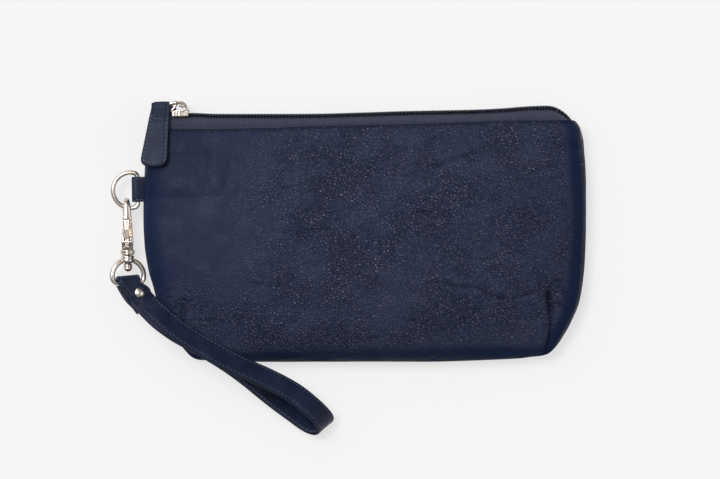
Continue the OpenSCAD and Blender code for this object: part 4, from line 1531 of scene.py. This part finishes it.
def hook_casting():
    """The snap hook's body: a tapering cast hook on a turned collar."""
    outline = [(-4.5, -3.4), (-1, -4.9), (2, -4.9)]
    outline += arc((HOOK_Y, 0), NOSE_R, -90, 90, 20)
    outline += [(10.0, 4.75), (10.0, 2.4)]
    outline += arc((HOOK_Y, 0), EYE_R, 90, -90, 16)
    outline += [(1.6, -2.4), (1.6, 4.6), (-1, 4.9), (-4.5, 3.4)]
    adds = [prism(outline, -HOOK_HALF, HOOK_HALF, across_hook), along_hook(COLLAR, COLLAR_Y)]
    gate_slot = lump((HOOK_X, -0.5, SEAM_Z + 4), (2.5, 5.8, 6.6))
    return cast("hook_casting", adds, [gate_slot], grain=0.14, rounds=7, bend=hook_taper)


def gate_casting():
    """The sprung gate with its thumb piece and round knuckle."""
    knuckle = rod(*((HOOK_X + side * GATE_HALF, *GATE_AXIS) for side in (-1, 1)), KNUCKLE_R)
    plate = prism(GATE_OUTLINE, -GATE_HALF, GATE_HALF, across_hook)
    return cast("gate_casting", [plate, knuckle], grain=0.11, rounds=5)


def stud():
    """The swivel stud fixed in the hook, with its turned ball head."""
    points, faces = along_hook(STUD, STUD_Y, 36)
    return mesh_object("swivel_stud", points, faces, [NICKEL])


def tilted(points):
    """Turns points of the swivel loop about the stud, as it hangs."""
    cos, sin = math.cos(LOOP_TILT), math.sin(LOOP_TILT)
    aside, rise = points[:, 0] - HOOK_X, points[:, 2] - SEAM_Z
    return np.stack([HOOK_X + aside * cos + rise * sin, points[:, 1],
                     SEAM_Z - aside * sin + rise * cos], -1)


def swivel_loop():
    """A D-shaped loop cast in one with the boss that turns on the stud."""
    flat = d_path(LOOP_R, LOOP_MID_Y - LOOP_BAR_Y, corner=1.8)
    path = np.stack([HOOK_X + flat[:, 1], LOOP_MID_Y - flat[:, 0],
                     np.full(len(flat), SEAM_Z)], -1)
    rings = wire_rings(path, LOOP_WIRE, 16)
    wire = (rings.reshape(-1, 3).tolist(), tube_faces(len(rings), 16, True))
    bore = rod(*((HOOK_X, y, SEAM_Z) for y in BORE_Y), BORE_R)
    return cast("swivel_loop_casting", [wire, along_hook(BOSS, BOSS_Y)], [bore], grain=0.14,
                rounds=5, bend=tilted)


def make_hardware():
    """Everything between the pouch's side seam and the strap."""
    tab, sewing = ring_tab()
    place(tab, "pouch", "leather_trim", "ring_tab")
    place(sewing, "pouch", "leather_trim")
    place(d_ring(), "ring", "nickel", "d_ring")
    place(hook_casting(), "hook", "nickel", "hook_body")
    place(stud(), "hook", "nickel", "swivel_pin")
    place(gate_casting(), "gate", "nickel", "hook_gate")
    place(swivel_loop(), "loop", "nickel", "swivel_loop")
    for name, material in (("gate_pin", NICKEL), ("gate_spring", STEEL), ("rivet_post", NICKEL)):
        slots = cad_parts[name].data.materials
        slots.clear()
        slots.append(material)


# ---- strap ----

STRAP_W = 10.8
STRAP_T = 2.0
STRAP_STEP = 0.6
STRAP_SEAM_IN = 1.15
STRAP_STITCH = (2.1, 1.5, 0.2)
FOLD_R = LOOP_WIRE + 0.5 + STRAP_T / 2
FOLD_AZ = 4
RIVET_AT = np.array([-108, -25.4, 9.3])
RIVET_AZ = 26
RIVET_ROLL = 18
RIVET_CLEAR = 5.4
RIVET_DOME = [(0, 2.2), (0.06, 2.42), (0.2, 2.5), (0.36, 2.4), (0.44, 2.15), (0.62, 1.95),
              (0.86, 1.55), (1.02, 1.05), (1.1, 0.5), (1.12, 0.02)]
LAYER_GAP = STRAP_T + 0.3


def across(az, roll):
    """Direction across the strap for its heading and roll in degrees."""
    az, roll = np.radians(az), np.radians(roll)
    return np.stack([np.cos(az) * np.cos(roll), np.sin(az) * np.cos(roll), -np.sin(roll)], -1)


def out_of(az, roll):
    """Direction out of the strap's upper face when its run is level."""
    az, roll = np.radians(az), np.radians(roll)
    return np.stack([np.cos(az) * np.sin(roll), np.sin(az) * np.sin(roll), np.cos(roll)], -1)


def stacked(lift, slide, run):
    """A station in one layer of the stack at the rivet."""
    along = np.array([math.sin(math.radians(RIVET_AZ)), -math.cos(math.radians(RIVET_AZ)), 0])
    p = (RIVET_AT + out_of(RIVET_AZ, RIVET_ROLL) * lift + across(RIVET_AZ, RIVET_ROLL) * slide
         + along * run)
    return (*p, RIVET_AZ, RIVET_ROLL)


def fold_station(degrees):
    """A station of the strap's fold over the loop's bar."""
    turn, az = math.radians(degrees), math.radians(FOLD_AZ)
    bar = np.array([HOOK_X, LOOP_BAR_Y, SEAM_Z])
    p = bar + FOLD_R * (math.cos(turn) * out_of(FOLD_AZ, math.degrees(LOOP_TILT))
                        + math.sin(turn) * np.array([-math.sin(az), math.cos(az), 0]))
    return (*p, FOLD_AZ, math.degrees(LOOP_TILT))


# Stations of the strap: x, y, z, heading of its width and roll
TAIL_RUN = [(-104.9, -32, 6.6, 38, 27), (-106.6, -29.6, 6.7, 33, 24), stacked(-LAYER_GAP, -1.2, 0)]
FOLD_RUN = [fold_station(a) for a in np.arange(180, -1, -22.5)]
TOP_RUN = [stacked(LAYER_GAP, 0, 0), stacked(LAYER_GAP, 0, 2.6), (-101.8, -31.9, 16.6, 38, 28),
           (-96, -37.2, 20, 44, 33), (-89.1, -43.1, 21.3, 50, 33), (-83, -47.4, 21.6, 54, 33),
           (-76.5, -51.3, 21.6, 57, 33), (-67, -57, 22, 62, 32), (-57.6, -61.8, 20.2, 64, 32),
           (-49.5, -65.6, 18, 63, 32), (-41.3, -69.8, 16.4, 60, 32), (-33.6, -74.6, 15.8, 53, 31)]
TURN_RUN = [(-27.6, -79.6, 15.4, 47, 30), (-23.3, -83.8, 14, 41, 30), (-20.9, -87, 11.4, 39, 30),
            (-20.6, -89.3, 8.4, 39, 30), (-22.2, -90.3, 5.7, 40, 30), (-25.4, -89.6, 4.5, 42, 30),
            (-29.2, -87.4, 4.4, 45, 30)]
LOW_RUN = [(-35.5, -82.6, 4.9, 50, 30), (-42.8, -77.0, 6.4, 53, 30), (-49.9, -71.1, 9.9, 55, 31),
           (-56.6, -65.3, 14.8, 56, 32), (-65.4, -58.5, 19, 57, 32), (-76.5, -51.4, 19.2, 56, 33),
           (-83.4, -47.5, 19, 54, 33), (-89.9, -43.7, 18.7, 49, 33), (-97.2, -38.2, 17.2, 43, 32),
           (-102.8, -32.6, 13.9, 37, 28), stacked(0, 0, 2.6), stacked(0, 0, 0),
           stacked(0, 0, -1.7)]
STATIONS_EACH = 12


def strap_middle():
    """Middle line of the strap, with its width and face directions, at fine even steps."""
    fine = catmull(TAIL_RUN + FOLD_RUN + TOP_RUN + TURN_RUN + LOW_RUN, STATIONS_EACH)
    run = length_along(fine[:, :3])
    at = np.linspace(0, run[-1], int(run[-1] / STRAP_STEP))
    line = np.stack([np.interp(at, run, fine[:, k]) for k in range(5)], 1)
    centres = line[:, :3]
    wide = across(line[:, 3], line[:, 4])
    return centres, wide, -unit(np.cross(heading(centres), wide))


def strap_rows(middle):
    """Stitches along both edges of both faces, leaving out the part under the rivet."""
    rows = []
    clear = np.linalg.norm(middle[0] - RIVET_AT, axis=1) > RIVET_CLEAR
    runs = np.split(np.arange(len(clear)), np.where(np.diff(clear.astype(int)) != 0)[0] + 1)
    for piece in runs:
        if not clear[piece[0]] or len(piece) < 8:
            continue
        for side in (-1, 1):
            for way in (-1, 1):
                rows.append(edge_stitches(middle, piece[2:-2], side * (STRAP_W / 2 - STRAP_SEAM_IN),
                                          way * (STRAP_T / 2 - 0.02), STRAP_STITCH))
    return rows


def rivet_cap():
    """A domed rivet head with a rolled rim."""
    axis = out_of(RIVET_AZ, RIVET_ROLL)
    face = LAYER_GAP + STRAP_T / 2 + 0.08
    points, faces = lathe(RIVET_DOME, RIVET_AT + axis * face, axis, 44)
    return mesh_object("rivet_dome", points, faces, [NICKEL])


def make_strap():
    """The wrist strap, its stitches and its rivet."""
    middle = strap_middle()
    half = np.full(len(middle[0]), STRAP_W / 2)
    strap = leather_band("strap_leather_band", middle, -half, half, band_section(STRAP_T / 2), 0.4,
                         0.85, STRAP_LEATHER)
    place(strap, "strap", "leather_trim", "wrist_strap")
    sewing = stitches("strap_stitches", strap_rows(middle), STRAP_THREAD)
    place(sewing, "strap", "leather_trim")
    place(rivet_cap(), "strap", "nickel", "rivet_cap")


make_camera()
make_floor()
make_light()
make_pouch()
make_zip()
make_pull()
make_hardware()
make_strap()

bpy.context.view_layer.update()
